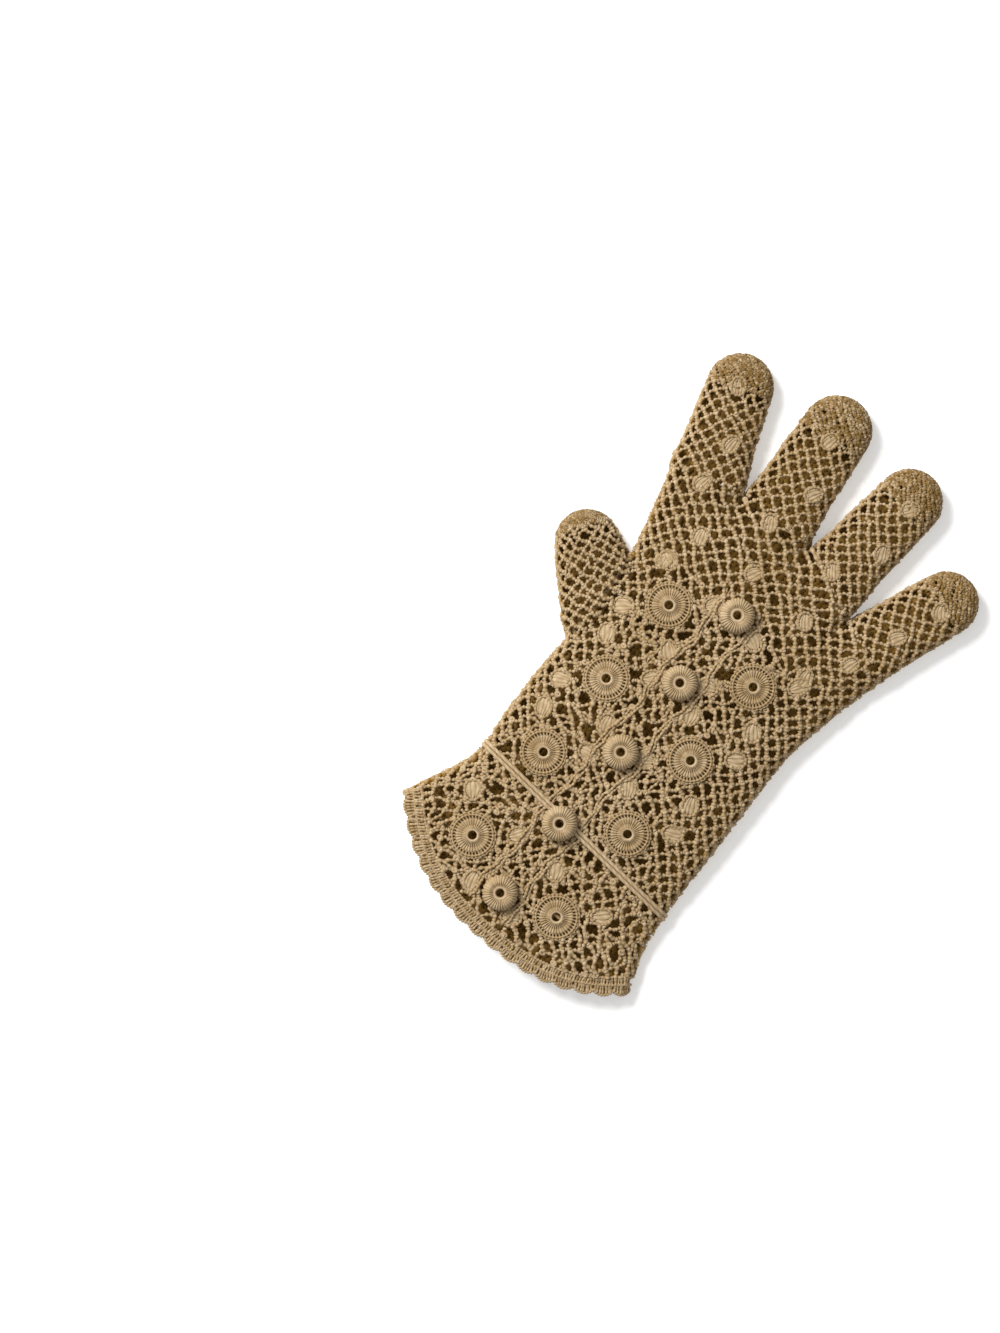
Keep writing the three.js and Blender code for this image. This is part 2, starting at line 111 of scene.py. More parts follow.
# Motifs on the back
MOTIF_AXIS = -6.3
ROSETTE_OFFSET = 21.5
ROSETTE_ROWS = (83.5, 48.1, 12.6, -27.6)
BUTTON_ROWS = (98.1, 65.7, 32.5, -2.0, -35.6)
ROSETTE_RADIUS = 8.3
BUTTON_RADIUS = 6.65
SHELL_RADIUS = 3.35
FINGER_SHELL_RADIUS = 2.95
SHELL_SINK = 0.95
SHELLS_BY_ROSETTE = [(-10.8, 12.7), (12.7, 10.8), (10.8, -12.7), (-12.7, -10.8)]
FINGER_SHELLS = [
    (-60.6, 163.3), (-48.7, 145.3), (-47.8, 127.5), (-35.5, 112.2), (-40.0, 97.0),
    (-21.8, 169.7), (-13.6, 150.9), (-19.2, 132.5), (-11.7, 114.6),
    (17.0, 169.8), (19.7, 150.7), (9.8, 133.9), (14.2, 113.3),
    (50.0, 148.3), (43.9, 130.9), (37.2, 112.0), (27.7, 97.5),
]

# How near the net comes to the middle of each motif
ROSETTE_ROOM = ROSETTE_RADIUS + 0.3
BUTTON_ROOM = 3.4
SHELL_ROOM = 3.3
FINGER_SHELL_ROOM = 2.9

# The net: the radius of its chains, how far their middle lies under the glove's outer form, the
# closer net of the palm, and the dense work of the fingertips
FINGER_CHAIN_RADIUS = 0.67
CHAIN_RADIUS = 0.73
PALM_CHAIN_RADIUS = 1.4
PALM_CLOSENESS = 1.5
PALM_SINK = 1.2
TIP_CHAIN_RADIUS = 0.6
TIP_CLOSENESS = 2
SINK = 0.8
HAND_CELLS = 36
CUFF_CELLS = 41

# How far the body's form and the nets of hand and cuff reach along it before they are trimmed
BODY_REACH = (-78, 145)
HAND_REACH = (-6, 139)
CUFF_REACH = (-62, 6)

# How far the thumb's net reaches over the hand inside its seam
THUMB_LAP = 4.0

# Where the close filling between the motifs ends: at the sides of the hand, over the wrist there,
# before the knuckles and before the hem, and how many of its cells have an extra tie each way
FILLING_SIDES = (28, 36)
FILLING_WRIST = (-8, 4)
FILLING_KNUCKLES = (92, 104)
FILLING_HEM = (-52, -46)
EXTRA_TIES = 0.16

# Chains that wind beside the buttons: their run along the hand, how far they lie from the middle of
# the buttons, how far they swing out round each, half the space between the two threads of a pair,
# a thread's radius and the length of one stitch
WINDING_RUN = (-44.0, 104.0)
WINDING_ASIDE = 7.4
WINDING_SWING = 1.1
WINDING_HALF_PAIR = 0.62
WINDING_RADIUS = 0.58
WINDING_STITCH = 1.35

# Edging: the height above the hem of the band's top and foot, of the scallops' foot, and of the
# chains over and between them, the radius of a stitch and of a chain, how many stitches a scallop
# has, and the length of one bead of a chain
BAND_TOP = 5.2
BAND_FOOT = 2.4
SCALLOP_FOOT = 3.1
TOP_CHAIN = 5.3
MIDDLE_CHAIN = 2.75
EDGING_STITCH_RADIUS = 0.54
EDGING_CHAIN_RADIUS = 0.5
STITCHES_A_SCALLOP = 7
EDGING_BEAD = 1.3

wrist_low, wrist_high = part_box("wrist_cord")
WRIST_PLACE = np.array([(wrist_low[i] + wrist_high[i]) / 2 for i in (0, 1)] + [0.0])
random = np.random.default_rng(7)


def smooth_step(low, high, value):
    """0 below low, 1 above high, and the cubic 3t^2 - 2t^3 between them."""
    share = np.clip((value - low) / (high - low), 0, 1)
    return share * share * (3 - 2 * share)


def unit(vectors):
    """Each vector divided by its own length."""
    return vectors / np.maximum(np.linalg.norm(vectors, axis=-1, keepdims=True), 1e-9)


# The glove's outer form


def crown(share):
    """Height of the back as a share, at a share of the half width: a low superellipse on straight sides."""
    rise = (1 - np.minimum(1, np.abs(share)) ** SQUARENESS) ** (1 / SQUARENESS)
    return WIDEST_AT + (1 - WIDEST_AT) * rise


def section(turn):
    """Sideways and upward shares of a cross-section at an angle: the cosine raised to 2 / squareness
    across, the crown above, and below it sides that turn in to a flat underside."""
    cosine = np.cos(turn)
    across = np.sign(cosine) * np.abs(cosine) ** (2 / SQUARENESS)
    reach = np.abs(np.sin(turn)) / REST_REACH
    under = WIDEST_AT * np.clip(1 - reach ** (2 / SQUARENESS), 0, 1)
    return across, np.where(np.sin(turn) > 0, crown(across), under)


def leaning(lean):
    """Directions along and across a finger that leans towards the thumb by an angle."""
    turn = math.radians(lean)
    return np.array([-math.sin(turn), math.cos(turn)]), np.array([math.cos(turn), math.sin(turn)])


def finger_half(finger, distance):
    """Half a finger's width: the root's extra width falls away along the finger in straight runs, and
    the outer part narrows a little to the tip."""
    _, _, length, width, root, _, _ = finger
    stations, extras = THUMB_TAPER if finger is THUMB else FINGER_TAPER
    extra = np.interp(distance / length, stations, extras)
    narrow = 1 - TIP_NARROWING * smooth_step(0.4, 1.0, distance / length)
    return width / 2 * (1 + (root - 1) * extra) * narrow


def on_finger(finger, x, y):
    """A spot's distance along a finger from its root, and sideways from its middle."""
    root, lean = finger[0], finger[1]
    along, across = leaning(lean)
    distance = (x - root[0]) * along[0] + (y - root[1]) * along[1]
    return distance, (x - root[0]) * across[0] + (y - root[1]) * across[1]


def finger_top(finger, x, y):
    """Height of a finger's back over a spot of the plan, and the spot's distance along the finger."""
    distance, sideways = on_finger(finger, x, y)
    return FINGER_HEIGHT * crown(sideways / finger_half(finger, distance)), distance


def past_thumb_seam(x, y):
    """Distance past the thumb's seam, away from the hand."""
    (x0, y0), (x1, y1) = THUMB_SEAM
    along = unit(np.array([x1 - x0, y1 - y0]))
    return (x0 - x) * along[1] - (y0 - y) * along[0]


def off_thumb(x, y):
    """Distance outside the part of the hand that the thumb's net covers."""
    distance, sideways = on_finger(THUMB, x, y)
    return -np.minimum(past_thumb_seam(x, y) + THUMB_LAP, finger_half(THUMB, distance) - np.abs(sideways) - 2)


def hem_at(x):
    """The hem's curve: lowest at the middle, and rising with the distance from it raised to a power."""
    return HEM_RISE * np.abs(x / HALF_CUFF) ** HEM_BEND - CUFF_LENGTH


def past_knuckles(x, y):
    """Distance beyond the line of the knuckles, negative on the hand."""
    return y - np.interp(x, *zip(*KNUCKLES))


def back_height(x, y):
    """Height of the back over a spot: the hand's crown, turning into the fingers' crowns just before the
    knuckles, and into the thumb's at its root."""
    rows = np.array(OUTLINE).T
    left, right, height = (np.interp(y, rows[0], rows[i]) for i in (1, 2, 3))
    hand = height * crown((2 * x - left - right) / (right - left))
    fingers = np.max([finger_top(finger, x, y)[0] for finger in FINGERS.values()], axis=0)
    hand = hand + (fingers - hand) * smooth_step(-20, -1, past_knuckles(x, y))
    thumb, distance = finger_top(THUMB, x, y)
    return np.maximum(hand, thumb * smooth_step(-THUMB_ROOT_DEPTH, 0, distance))


class Skin:
    """A closed form of the glove as a surface of two parameters. Round goes once about the section:
    from 0 on the little finger's side over the back to 0.5 on the thumb's side, and on under the
    palm. Along is in millimetres. Points are evenly spaced round each half."""

    STEP = 0.5
    COLUMNS = 256

    def __init__(self, first, last, row_at, top=None):
        """row_at gives centres, the direction across, half width, lowest height and height at
        distances along; top, if any, gives the back's height over a spot."""
        self.first = first
        along = np.arange(first, last, self.STEP)
        centre, across, half, low, height = row_at(along)
        turn = np.linspace(0, 2 * np.pi, 4 * self.COLUMNS + 1)
        sideways, up = section(turn)
        spread = (half[:, None] * sideways)[..., None]
        plan = centre[:, None] + across * spread
        level = low[:, None] + height[:, None] * up
        if top:
            edge = WIDEST_AT * height[:, None]
            over = top(plan[..., 0], plan[..., 1])
            over = edge + (over - edge) * smooth_step(0, 0.35, np.sin(turn))
            level = np.where(np.sin(turn) > 0, over, level)
        fine = np.concatenate([plan, level[..., None]], axis=-1)
        self.points = np.array([self.even(ring) for ring in fine])
        steps = np.roll(self.points, -1, axis=1) - self.points
        self.girth = np.linalg.norm(steps, axis=-1).sum(axis=1)
        turning = np.roll(self.points, -1, axis=1) - np.roll(self.points, 1, axis=1)
        self.outward = unit(np.cross(np.gradient(self.points, axis=0), turning))

    def even(self, ring):
        """The ring's back and palm, each cut into equally long steps."""
        halves = []
        middle = len(ring) // 2
        for part in (ring[:middle + 1], ring[middle:]):
            lengths = np.linalg.norm(np.diff(part, axis=0), axis=1)
            run = np.concatenate([[0], np.cumsum(lengths)])
            wanted = np.arange(self.COLUMNS // 2) / (self.COLUMNS // 2) * run[-1]
            halves.append(np.stack([np.interp(wanted, run, part[:, i]) for i in range(3)], axis=1))
        return np.concatenate(halves)

    def around(self, along):
        """Millimetres once round the section."""
        return np.interp(along, self.first + self.STEP * np.arange(len(self.girth)), self.girth)

    def at(self, turn, along, lift=0.0):
        """The point at a share round and a distance along, lifted outwards, and the outward direction,
        both weighted between the four nearest points of the table."""
        column = (turn % 1.0) * self.COLUMNS
        row = np.clip((along - self.first) / self.STEP, 0, len(self.points) - 1.001)
        i, j = row.astype(int), column.astype(int) % self.COLUMNS
        down, over = (row - i)[..., None], (column - np.floor(column))[..., None]
        k = (j + 1) % self.COLUMNS

        def mixed(table):
            near = table[i, j] * (1 - over) + table[i, k] * over
            far = table[i + 1, j] * (1 - over) + table[i + 1, k] * over
            return near * (1 - down) + far * down

        outward = unit(mixed(self.outward))
        return mixed(self.points) + outward * np.asarray(lift)[..., None], outward

    def spots(self, places):
        """Sideways and lengthwise places in the plan of points given by their shares round and along."""
        return np.moveaxis(self.at(places[..., 0], places[..., 1])[0][..., :2], -1, 0)


def finger_skin(finger, root_depth):
    """A finger's form: straight to the tip, which closes as a quarter of an ellipse while it rises a
    little off the floor. Past the tip's start, along is the ellipse's angle times its length."""
    root, lean, length, width, _, _, _ = finger
    tip = TIP_LENGTH * width
    forward, across = leaning(lean)

    def row_at(along):
        angle = np.clip((along - (length - tip)) / tip, 0, TIP_END)
        shrink = np.cos(angle)
        distance = np.minimum(along, length - tip) + tip * np.sin(angle)
        centre = np.array(root) + forward * distance[:, None]
        half = finger_half(finger, distance) * shrink
        low = TIP_LIFT * FINGER_HEIGHT * (1 - shrink)
        return centre, across, half, low, FINGER_HEIGHT * (TIP_HEIGHT + (1 - TIP_HEIGHT) * shrink)

    return Skin(-root_depth, length - tip + tip * TIP_END, row_at)


def body_rows(along):
    """Cuff and hand between the outline's rows, smoothed over a few millimetres."""
    rows = np.array(OUTLINE).T
    reach = np.linspace(-6, 6, 7)
    left, right, height = (
        np.mean([np.interp(along + step, rows[0], rows[i]) for step in reach], axis=0) for i in (1, 2, 3)
    )
    middle = (left + right) / 2
    centre = np.stack([middle, along + WRIST_TILT * middle], axis=1)
    return centre, np.array([1.0, 0.0]), (right - left) / 2, np.zeros_like(along), height


# Meshes


class Work:
    """Threads gathered into one piece: rings of points joined into closed skins. Two numbers go with each
    point, and the finish paints shade by them: inside, 1 where it faces the glove's hollow, and groove,
    about 1 between two stitches, where it also carries a darker tone by chance."""

    def __init__(self):
        self.points, self.quads, self.caps, self.inside, self.groove = [], [], [], [], []
        self.count = 0

    def rings(self, points, inside, groove, closed=False):
        """Joins rings[batch, along, round] by quads. The last ring joins the first, or else both end rings
        are capped. Faces are turned so that the enclosed volume is positive."""
        batch, rings, sides = points.shape[:3]
        index = np.arange(batch * rings * sides).reshape(batch, rings, sides) + self.count
        here = index if closed else index[:, :-1]
        there = np.roll(index, -1, axis=1) if closed else index[:, 1:]
        quads = np.stack([here, np.roll(here, -1, 2), np.roll(there, -1, 2), there], axis=-1)
        flat = points.reshape(-1, 3)
        corners = flat[quads[0].reshape(-1, 4) - self.count]
        corners = corners - flat[0]
        normal = np.cross(corners[:, 2] - corners[:, 0], corners[:, 3] - corners[:, 1])
        caps = np.concatenate([index[:, 0, ::-1], index[:, -1]])
        if np.sum(normal * corners.mean(axis=1)) < 0:
            quads = quads[..., ::-1]
            caps = caps[:, ::-1]
        self.points.append(flat)
        self.quads.append(quads.reshape(-1, 4))
        if not closed:
            self.caps.append(caps)
        self.inside.append(np.broadcast_to(inside, points.shape[:3]).ravel())
        self.groove.append(np.broadcast_to(groove, points.shape[:3]).ravel())
        self.count += len(flat)

    def piece(self, name, finish, slot, *nodes):
        """Makes the mesh, gives it its finish and lets it stand for CAD nodes."""
        faces = [*self.quads, *self.caps]
        sizes = np.concatenate([np.full(len(face), face.shape[1]) for face in faces])
        corners = np.concatenate([face.ravel() for face in faces])
        mesh = bpy.data.meshes.new(name)
        mesh.vertices.add(self.count)
        points = np.concatenate(self.points) * MM + WRIST_PLACE
        points[:, 2] = np.maximum(points[:, 2], 0)
        mesh.vertices.foreach_set("co", points.ravel())
        mesh.loops.add(len(corners))
        mesh.loops.foreach_set("vertex_index", corners)
        mesh.polygons.add(len(sizes))
        mesh.polygons.foreach_set("loop_start", np.concatenate([[0], np.cumsum(sizes)[:-1]]))
        mesh.polygons.foreach_set("use_smooth", np.ones(len(sizes), bool))
        mesh.update(calc_edges=True)
        mesh.validate()
        for key, parts in (("inside", self.inside), ("groove", self.groove)):
            mesh.attributes.new(key, "FLOAT", "POINT").data.foreach_set("value", np.concatenate(parts))
        mesh.materials.append(finish)
        made = bpy.data.objects.new(name, mesh)
        bpy.context.scene.collection.objects.link(made)
        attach(made, "root")
        if nodes:
            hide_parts(*nodes)
        print(name, int(np.sum(sizes - 2)), "triangles")
        return made


def tubes(work, centre, outward, radius, sides, closed=False, twist=0.0, phase=0.0, notch=0.0):
    """Threads round centre lines [batch, along]: each ring is a circle square to the line. Twist is how
    much of the radius two plies add, and phase their angle at each ring. Notch is 1 at a ring between
    two stitches."""
    if closed:
        tangent = unit(np.roll(centre, -1, axis=1) - np.roll(centre, 1, axis=1))
    else:
        tangent = unit(np.gradient(centre, axis=1))
    side = unit(np.cross(tangent, outward))
    up = np.cross(side, tangent)
    turn = 2 * np.pi * np.arange(sides) / sides
    ply = np.cos(2 * turn + np.asarray(phase)[..., None])
    reach = (np.asarray(radius)[..., None] * (1 + twist * ply))[..., None]
    points = centre[:, :, None] + reach * (
        np.cos(turn)[:, None] * side[:, :, None] + np.sin(turn)[:, None] * up[:, :, None]
    )
    # Painted shade in the groove between the plies, plus what notch brings
    groove = 0.5 * (0.5 - 0.5 * ply) + 0.8 * np.asarray(notch)[..., None]
    # Painted shade on the side of each thread that faces the glove's hollow
    work.rings(points, 0.5 - 0.5 * np.sin(turn), groove, closed)


# Nets


def scatter(places, salt):
    """A number from -1 to 1 for each place, the same each time: the broken part of a large sine."""
    wave = np.sin(np.round(places[..., 0] * 997) * 12.9898 + np.round(places[..., 1] * 11) * 78.233 + salt)
    return 2 * ((wave * 43758.5453) % 1.0) - 1


def lattice(skin, cells, first, last):
    """Ties of a diamond net: knots stand in rows set off by half a cell, and each is tied to the two
    nearest of the next row. The rows are as far apart as the knots are half across."""
    middle = skin.around(np.array([(first + last) / 2]))[0]
    spacing = middle / cells / 2
    rows = int(round((last - first) / spacing))
    knot, row = np.meshgrid(np.arange(2 * cells), np.arange(rows))
    used = (knot + row) % 2 == 0
    start = np.stack([knot[used] / (2 * cells), first + row[used] * spacing], axis=1)
    ends = [start + np.array([side / (2 * cells), spacing]) for side in (-1, 1)]
    return np.concatenate([np.stack([start, end], axis=1) for end in ends])


def loosened(skin, ties, amount, wander):
    """Moves every knot by chance, up to amount, and along with its neighbours by slow waves."""
    turn, along = ties[..., 0], ties[..., 1]
    wrapped = np.stack([turn % 1.0, along], axis=-1)
    x = skin.around(along) * turn
    sway = np.sin(0.31 * along + 0.9 * np.sin(0.17 * x)) + 0.6 * np.sin(0.53 * along - 0.41 * x + 1.3)
    heave = np.sin(0.29 * x - 0.23 * along) + 0.6 * np.sin(0.47 * x + 0.37 * along + 2.1)
    amount = np.broadcast_to(amount, turn.shape)
    across = amount * scatter(wrapped, 1.0) + wander * sway
    forward = amount * scatter(wrapped, 2.0) + wander * heave
    return np.stack([turn + across / skin.around(along), along + forward], axis=-1)


def trimmed(ties, room):
    """Cuts ties back to where room is positive. Room is a signed distance, taken as straight along a
    tie."""
    near, far = room(ties[:, 0]), room(ties[:, 1])
    keep = np.maximum(near, far) > 0.25
    ties, near, far = ties[keep], near[keep], far[keep]
    span = ties[:, 1] - ties[:, 0]
    from_start = np.where(near < 0, near / (near - far), 0.0)[:, None]
    from_end = np.where(far < 0, far / (far - near), 0.0)[:, None]
    return np.stack([ties[:, 0] + span * from_start, ties[:, 1] - span * from_end], axis=1)


def chains(work, skin, ties, radius, rings, sides, stitches, bow=0.0, knot=0.45, shade=0.0, sink=SINK):
    """Rows of chain stitches along ties. The middle of a tie bows sideways by half a sine wave, the
    radius swells once for each stitch and at the knots at both ends, and the stitches lie alternately a
    little to the left and right. Ties that run to one side are thicker and lie over the others. Shade
    darkens ties by chance, up to twice as much, and sink is how deep their middle lies."""
    share = np.linspace(0, 1, rings)
    start, span = ties[:, :1], ties[:, 1:] - ties[:, :1]
    place = start + span * share[:, None]
    around = skin.around(place[..., 1])
    width, height = span[..., 0] * around, span[..., 1] * np.ones_like(around)
    length = np.maximum(np.hypot(width, height), 1e-6)
    middle = ties.mean(axis=1)
    swing = bow * scatter(middle, 3.0)[:, None] * np.sin(np.pi * share)
    swing = swing + 0.25 * radius * np.sin(np.pi * stitches * share)
    turn = place[..., 0] - swing * height / length / around
    along = place[..., 1] + swing * width / length
    over = np.sign(span[..., 0]) if stitches else 0
    rise = 0.35 * radius * scatter(middle, 4.0)[:, None] * np.sin(np.pi * share) + 0.15 * radius * over
    centre, outward = skin.at(turn, along, rise - sink)
    near_end = np.exp(-((np.minimum(share, 1 - share) * length / 0.55) ** 2))
    stitch = np.cos(2 * np.pi * stitches * share) if stitches else 0 * share
    size = radius * (1 - 0.24 * stitch + knot * near_end + 0.1 * scatter(middle, 5.0)[:, None] + 0.1 * over)
    phase = 6 * share + 3 * scatter(middle, 6.0)[:, None]
    # Painted shade at the thin waist between stitches, plus shade by chance as a darker tone of whole ties
    notch = (0.5 + 0.5 * stitch) * (1 - near_end) + shade * (1 + scatter(middle, 12.0))[:, None]
    tubes(work, centre, outward, size, sides, twist=0.16, phase=phase, notch=notch)


def on_back(ties, margin=0.0):
    """Ties whose middle lies on the back."""
    middle = ties[..., 0].mean(axis=1) % 1.0
    return (middle > margin) & (middle < 0.5 - margin)


def layers(skin, cells, first, last, room_back, room_palm, loose, wander=0.3):
    """The ties of a net on the back, and of the closer and thicker net under the palm."""
    open_net = lattice(skin, cells, first, last)
    edge = np.minimum(open_net[..., 0] % 1.0, np.abs(0.5 - open_net[..., 0] % 1.0))
    back = loosened(skin, open_net, loose * smooth_step(0.0, 0.05, edge), wander)[on_back(open_net)]
    close_net = lattice(skin, round(PALM_CLOSENESS * cells), first, last)
    palm = loosened(skin, close_net, 0.0, wander)[~on_back(close_net)]
    return trimmed(back, room_back), trimmed(palm, room_palm)


# Places of motifs

ROSETTES = [(MOTIF_AXIS + side * ROSETTE_OFFSET, y) for side in (-1, 1) for y in ROSETTE_ROWS]
ROSETTES = [(x, y + WRIST_TILT * x) for x, y in ROSETTES]
BUTTONS = [(MOTIF_AXIS, y + WRIST_TILT * MOTIF_AXIS) for y in BUTTON_ROWS]


def shell_places():
    """Shells round every rosette, those that two rosettes share being one, where they lie clear of the
    sides, the wrist cords, the hem and the buttons."""
    places = []
    for x, y in ROSETTES:
        for dx, dy in SHELLS_BY_ROSETTE:
            spot = (x + dx, y + dy)
            if all(math.dist(spot, other) > 1.6 * SHELL_RADIUS for other in places):
                places.append(spot)
    return [
        (x, y) for x, y in places
        if abs(x + 3) < 42 and abs(y - WRIST_TILT * x) > 4.2 and y > hem_at(x) + EDGING_WIDTH + 3
        and all(math.dist((x, y), button) > 8.5 for button in BUTTONS)
    ]


BACK_SHELLS = shell_places()


def clear_of(x, y, spots, radius):
    """Distance of a spot to the nearest of some discs."""
    return np.min([np.hypot(x - a, y - b) for a, b in spots], axis=0) - radius


def seat(x, y, lift, height=back_height):
    """The place and three axes of something that lies flat on the back."""
    step = 1.5
    slope_x = (height(x + step, y) - height(x - step, y)) / (2 * step)
    slope_y = (height(x, y + step) - height(x, y - step)) / (2 * step)
    up = unit(np.array([-slope_x, -slope_y, 1.0]))
    forward = unit(np.cross(up, [1.0, 0.0, 0.0]))
    return np.array([x, y, height(x, y)]) + up * lift, np.stack([np.cross(forward, up), forward, up])


def placed(points, place, axes):
    """Points of a piece's own frame, carried to its seat."""
    return points @ axes + place


def rounded(corners):
    """A closed outline with every corner cut off, twice: each side keeps its middle half."""
    outline = np.array(corners, float)
    for _ in range(2):
        after = np.roll(outline, -1, axis=0)
        outline = np.stack([0.75 * outline + 0.25 * after, 0.25 * outline + 0.75 * after], 1).reshape(-1, 2)
    return outline


def turned(work, outline, stitches, depth, dark, seat_place, start, finish, round_at, eye, salt):
    """A closed outline of radius and height turned about the upright axis. Radial stitches raise it along
    its own normal between two radii by depth times an absolute cosine. Dark is how strong the painted
    shade in its grooves is: each stitch's shade also differs by chance, painted shade marks the groove
    between two rounds of stitches at one radius, and painted shade darkens the eyelet inside the radius
    of its eye. Its low parts get the painted shade of the glove's hollow."""
    samples = 4
    outline = rounded(outline)
    along = np.roll(outline, -1, axis=0) - np.roll(outline, 1, axis=0)
    normal = unit(np.stack([along[:, 1], -along[:, 0]], axis=1))
    after = np.roll(outline, -1, axis=0)
    if np.sum(outline[:, 0] * after[:, 1] - outline[:, 1] * after[:, 0]) < 0:
        normal = -normal
    turn = np.linspace(0, 2 * np.pi, samples * stitches, endpoint=False)
    lean = 0.12 * np.sin(3 * turn + salt)
    ridge = np.abs(np.cos(stitches / 2 * turn + lean))
    upper = smooth_step(0.3, 0.9, outline[:, 1])
    zone = upper * smooth_step(start - 0.4, start + 0.4, outline[:, 0])
    zone = zone * (1 - smooth_step(finish - 0.2, finish + 0.4, outline[:, 0]))
    raised = outline + normal * (depth * (ridge[:, None] - 0.6) * zone)[..., None]
    points = np.stack(
        [raised[..., 0] * np.cos(turn)[:, None], raised[..., 0] * np.sin(turn)[:, None], raised[..., 1]],
        axis=-1,
    )
    stitch = np.round((stitches / 2 * turn + lean) / np.pi)
    shade = 0.25 + 0.25 * scatter(np.stack([stitch, np.full_like(stitch, salt)], axis=-1), 15.0)
    # Painted shade in the groove between two rounds of stitches
    between = 0.5 * upper * np.exp(-(((outline[:, 0] - round_at) / 0.3) ** 2))
    # Painted shade inside the eyelet
    hollow = 0.6 * (1 - smooth_step(eye - 0.25, eye + 0.1, outline[:, 0]))
    # Painted shade in the valleys between radial stitches, each stitch's shade differing by chance
    groove = dark * ((0.8 - 0.75 * ridge[:, None] + shade[:, None]) * zone + between) + hollow
    # Painted shade of the glove's hollow on the motif's low parts
    deep = 1 - smooth_step(0.2, 1.2, outline[:, 1])
    work.rings(placed(points, *seat_place)[None], deep, groove, closed=True)


def ring_thread(work, seat_place, radius, wave, waves, height, thread, beads):
    """A closed thread round a motif: its radius waves in and out, and it swells into beads."""
    turn = np.linspace(0, 2 * np.pi, 2 * beads, endpoint=False)
    reach = radius + wave * np.cos(waves * turn)
    points = np.stack([reach * np.cos(turn), reach * np.sin(turn), np.full_like(turn, height)], axis=-1)
    outward = np.broadcast_to(seat_place[1][2], points.shape)
    swell = thread * (1 + 0.28 * np.cos(beads * turn))
    # Painted shade between the beads, where the thread is thinnest
    tubes(
        work, placed(points, *seat_place)[None], outward[None], swell[None], 6,
        closed=True, twist=0.1, phase=(beads * turn)[None], notch=(0.5 - 0.5 * np.cos(beads * turn))[None],
    )


def rosette(work, x, y, salt):
    """A flat rosette: a raised eyelet, a disc of radial stitches, a ring of posts with the gaps that show
    as dark dots, a beaded chain, and loops outside it."""
    place = seat(x, y, -WALL)
    outline = [
        (1.7, 0.4), (1.55, 2.2), (1.8, 2.9), (2.6, 2.85), (3.4, 2.3), (4.5, 2.2), (5.6, 2.35),
        (6.2, 2.2), (6.4, 1.3), (5.8, 0.6), (3.0, 0.4),
    ]
    turned(work, outline, 34, 0.5, 0.95, place, 2.3, 6.5, 4.1, 1.7, salt)
    posts = 36
    turn = 2 * np.pi * np.arange(posts) / posts
    share = np.linspace(0, 1, 4)
    reach = 6.1 + 1.5 * share
    level = 1.9 - 0.15 * share
    points = np.stack(
        [np.cos(turn)[:, None] * reach, np.sin(turn)[:, None] * reach, np.broadcast_to(level, (posts, 4))],
        axis=-1,
    )
    outward = np.broadcast_to(place[1][2], points.shape)
    shade = 0.3 + 0.3 * scatter(points[:, 0], 16.0 + salt)[:, None] * np.ones(4)
    tubes(work, placed(points, *place), outward, np.full((posts, 4), 0.36), 5, notch=shade)
    ring_thread(work, place, 7.6, 0.0, 0, 1.95, 0.5, 36)
    ring_thread(work, place, 8.45, 0.28, 24, 1.7, 0.42, 36)


def button(work, x, y, lift, salt):
    """A padded button: a dome round an eyelet, wrapped in radial stitches, on a ring of chain at its foot."""
    place = seat(x, y, lift)
    outline = [
        (1.55, 0.2), (1.45, 2.6), (1.65, 3.35), (2.2, 3.6), (2.7, 3.4), (3.2, 3.65), (4.0, 3.85), (5.0, 3.6),
        (5.9, 2.75), (6.45, 1.4), (6.1, 0.1), (3.0, 0.0),
    ]
    turned(work, outline, 34, 0.5, 0.65, place, 2.5, 7.5, 3.6, 1.9, salt)
    ring_thread(work, place, 5.95, 0.1, 6, -0.15, 0.68, 20)


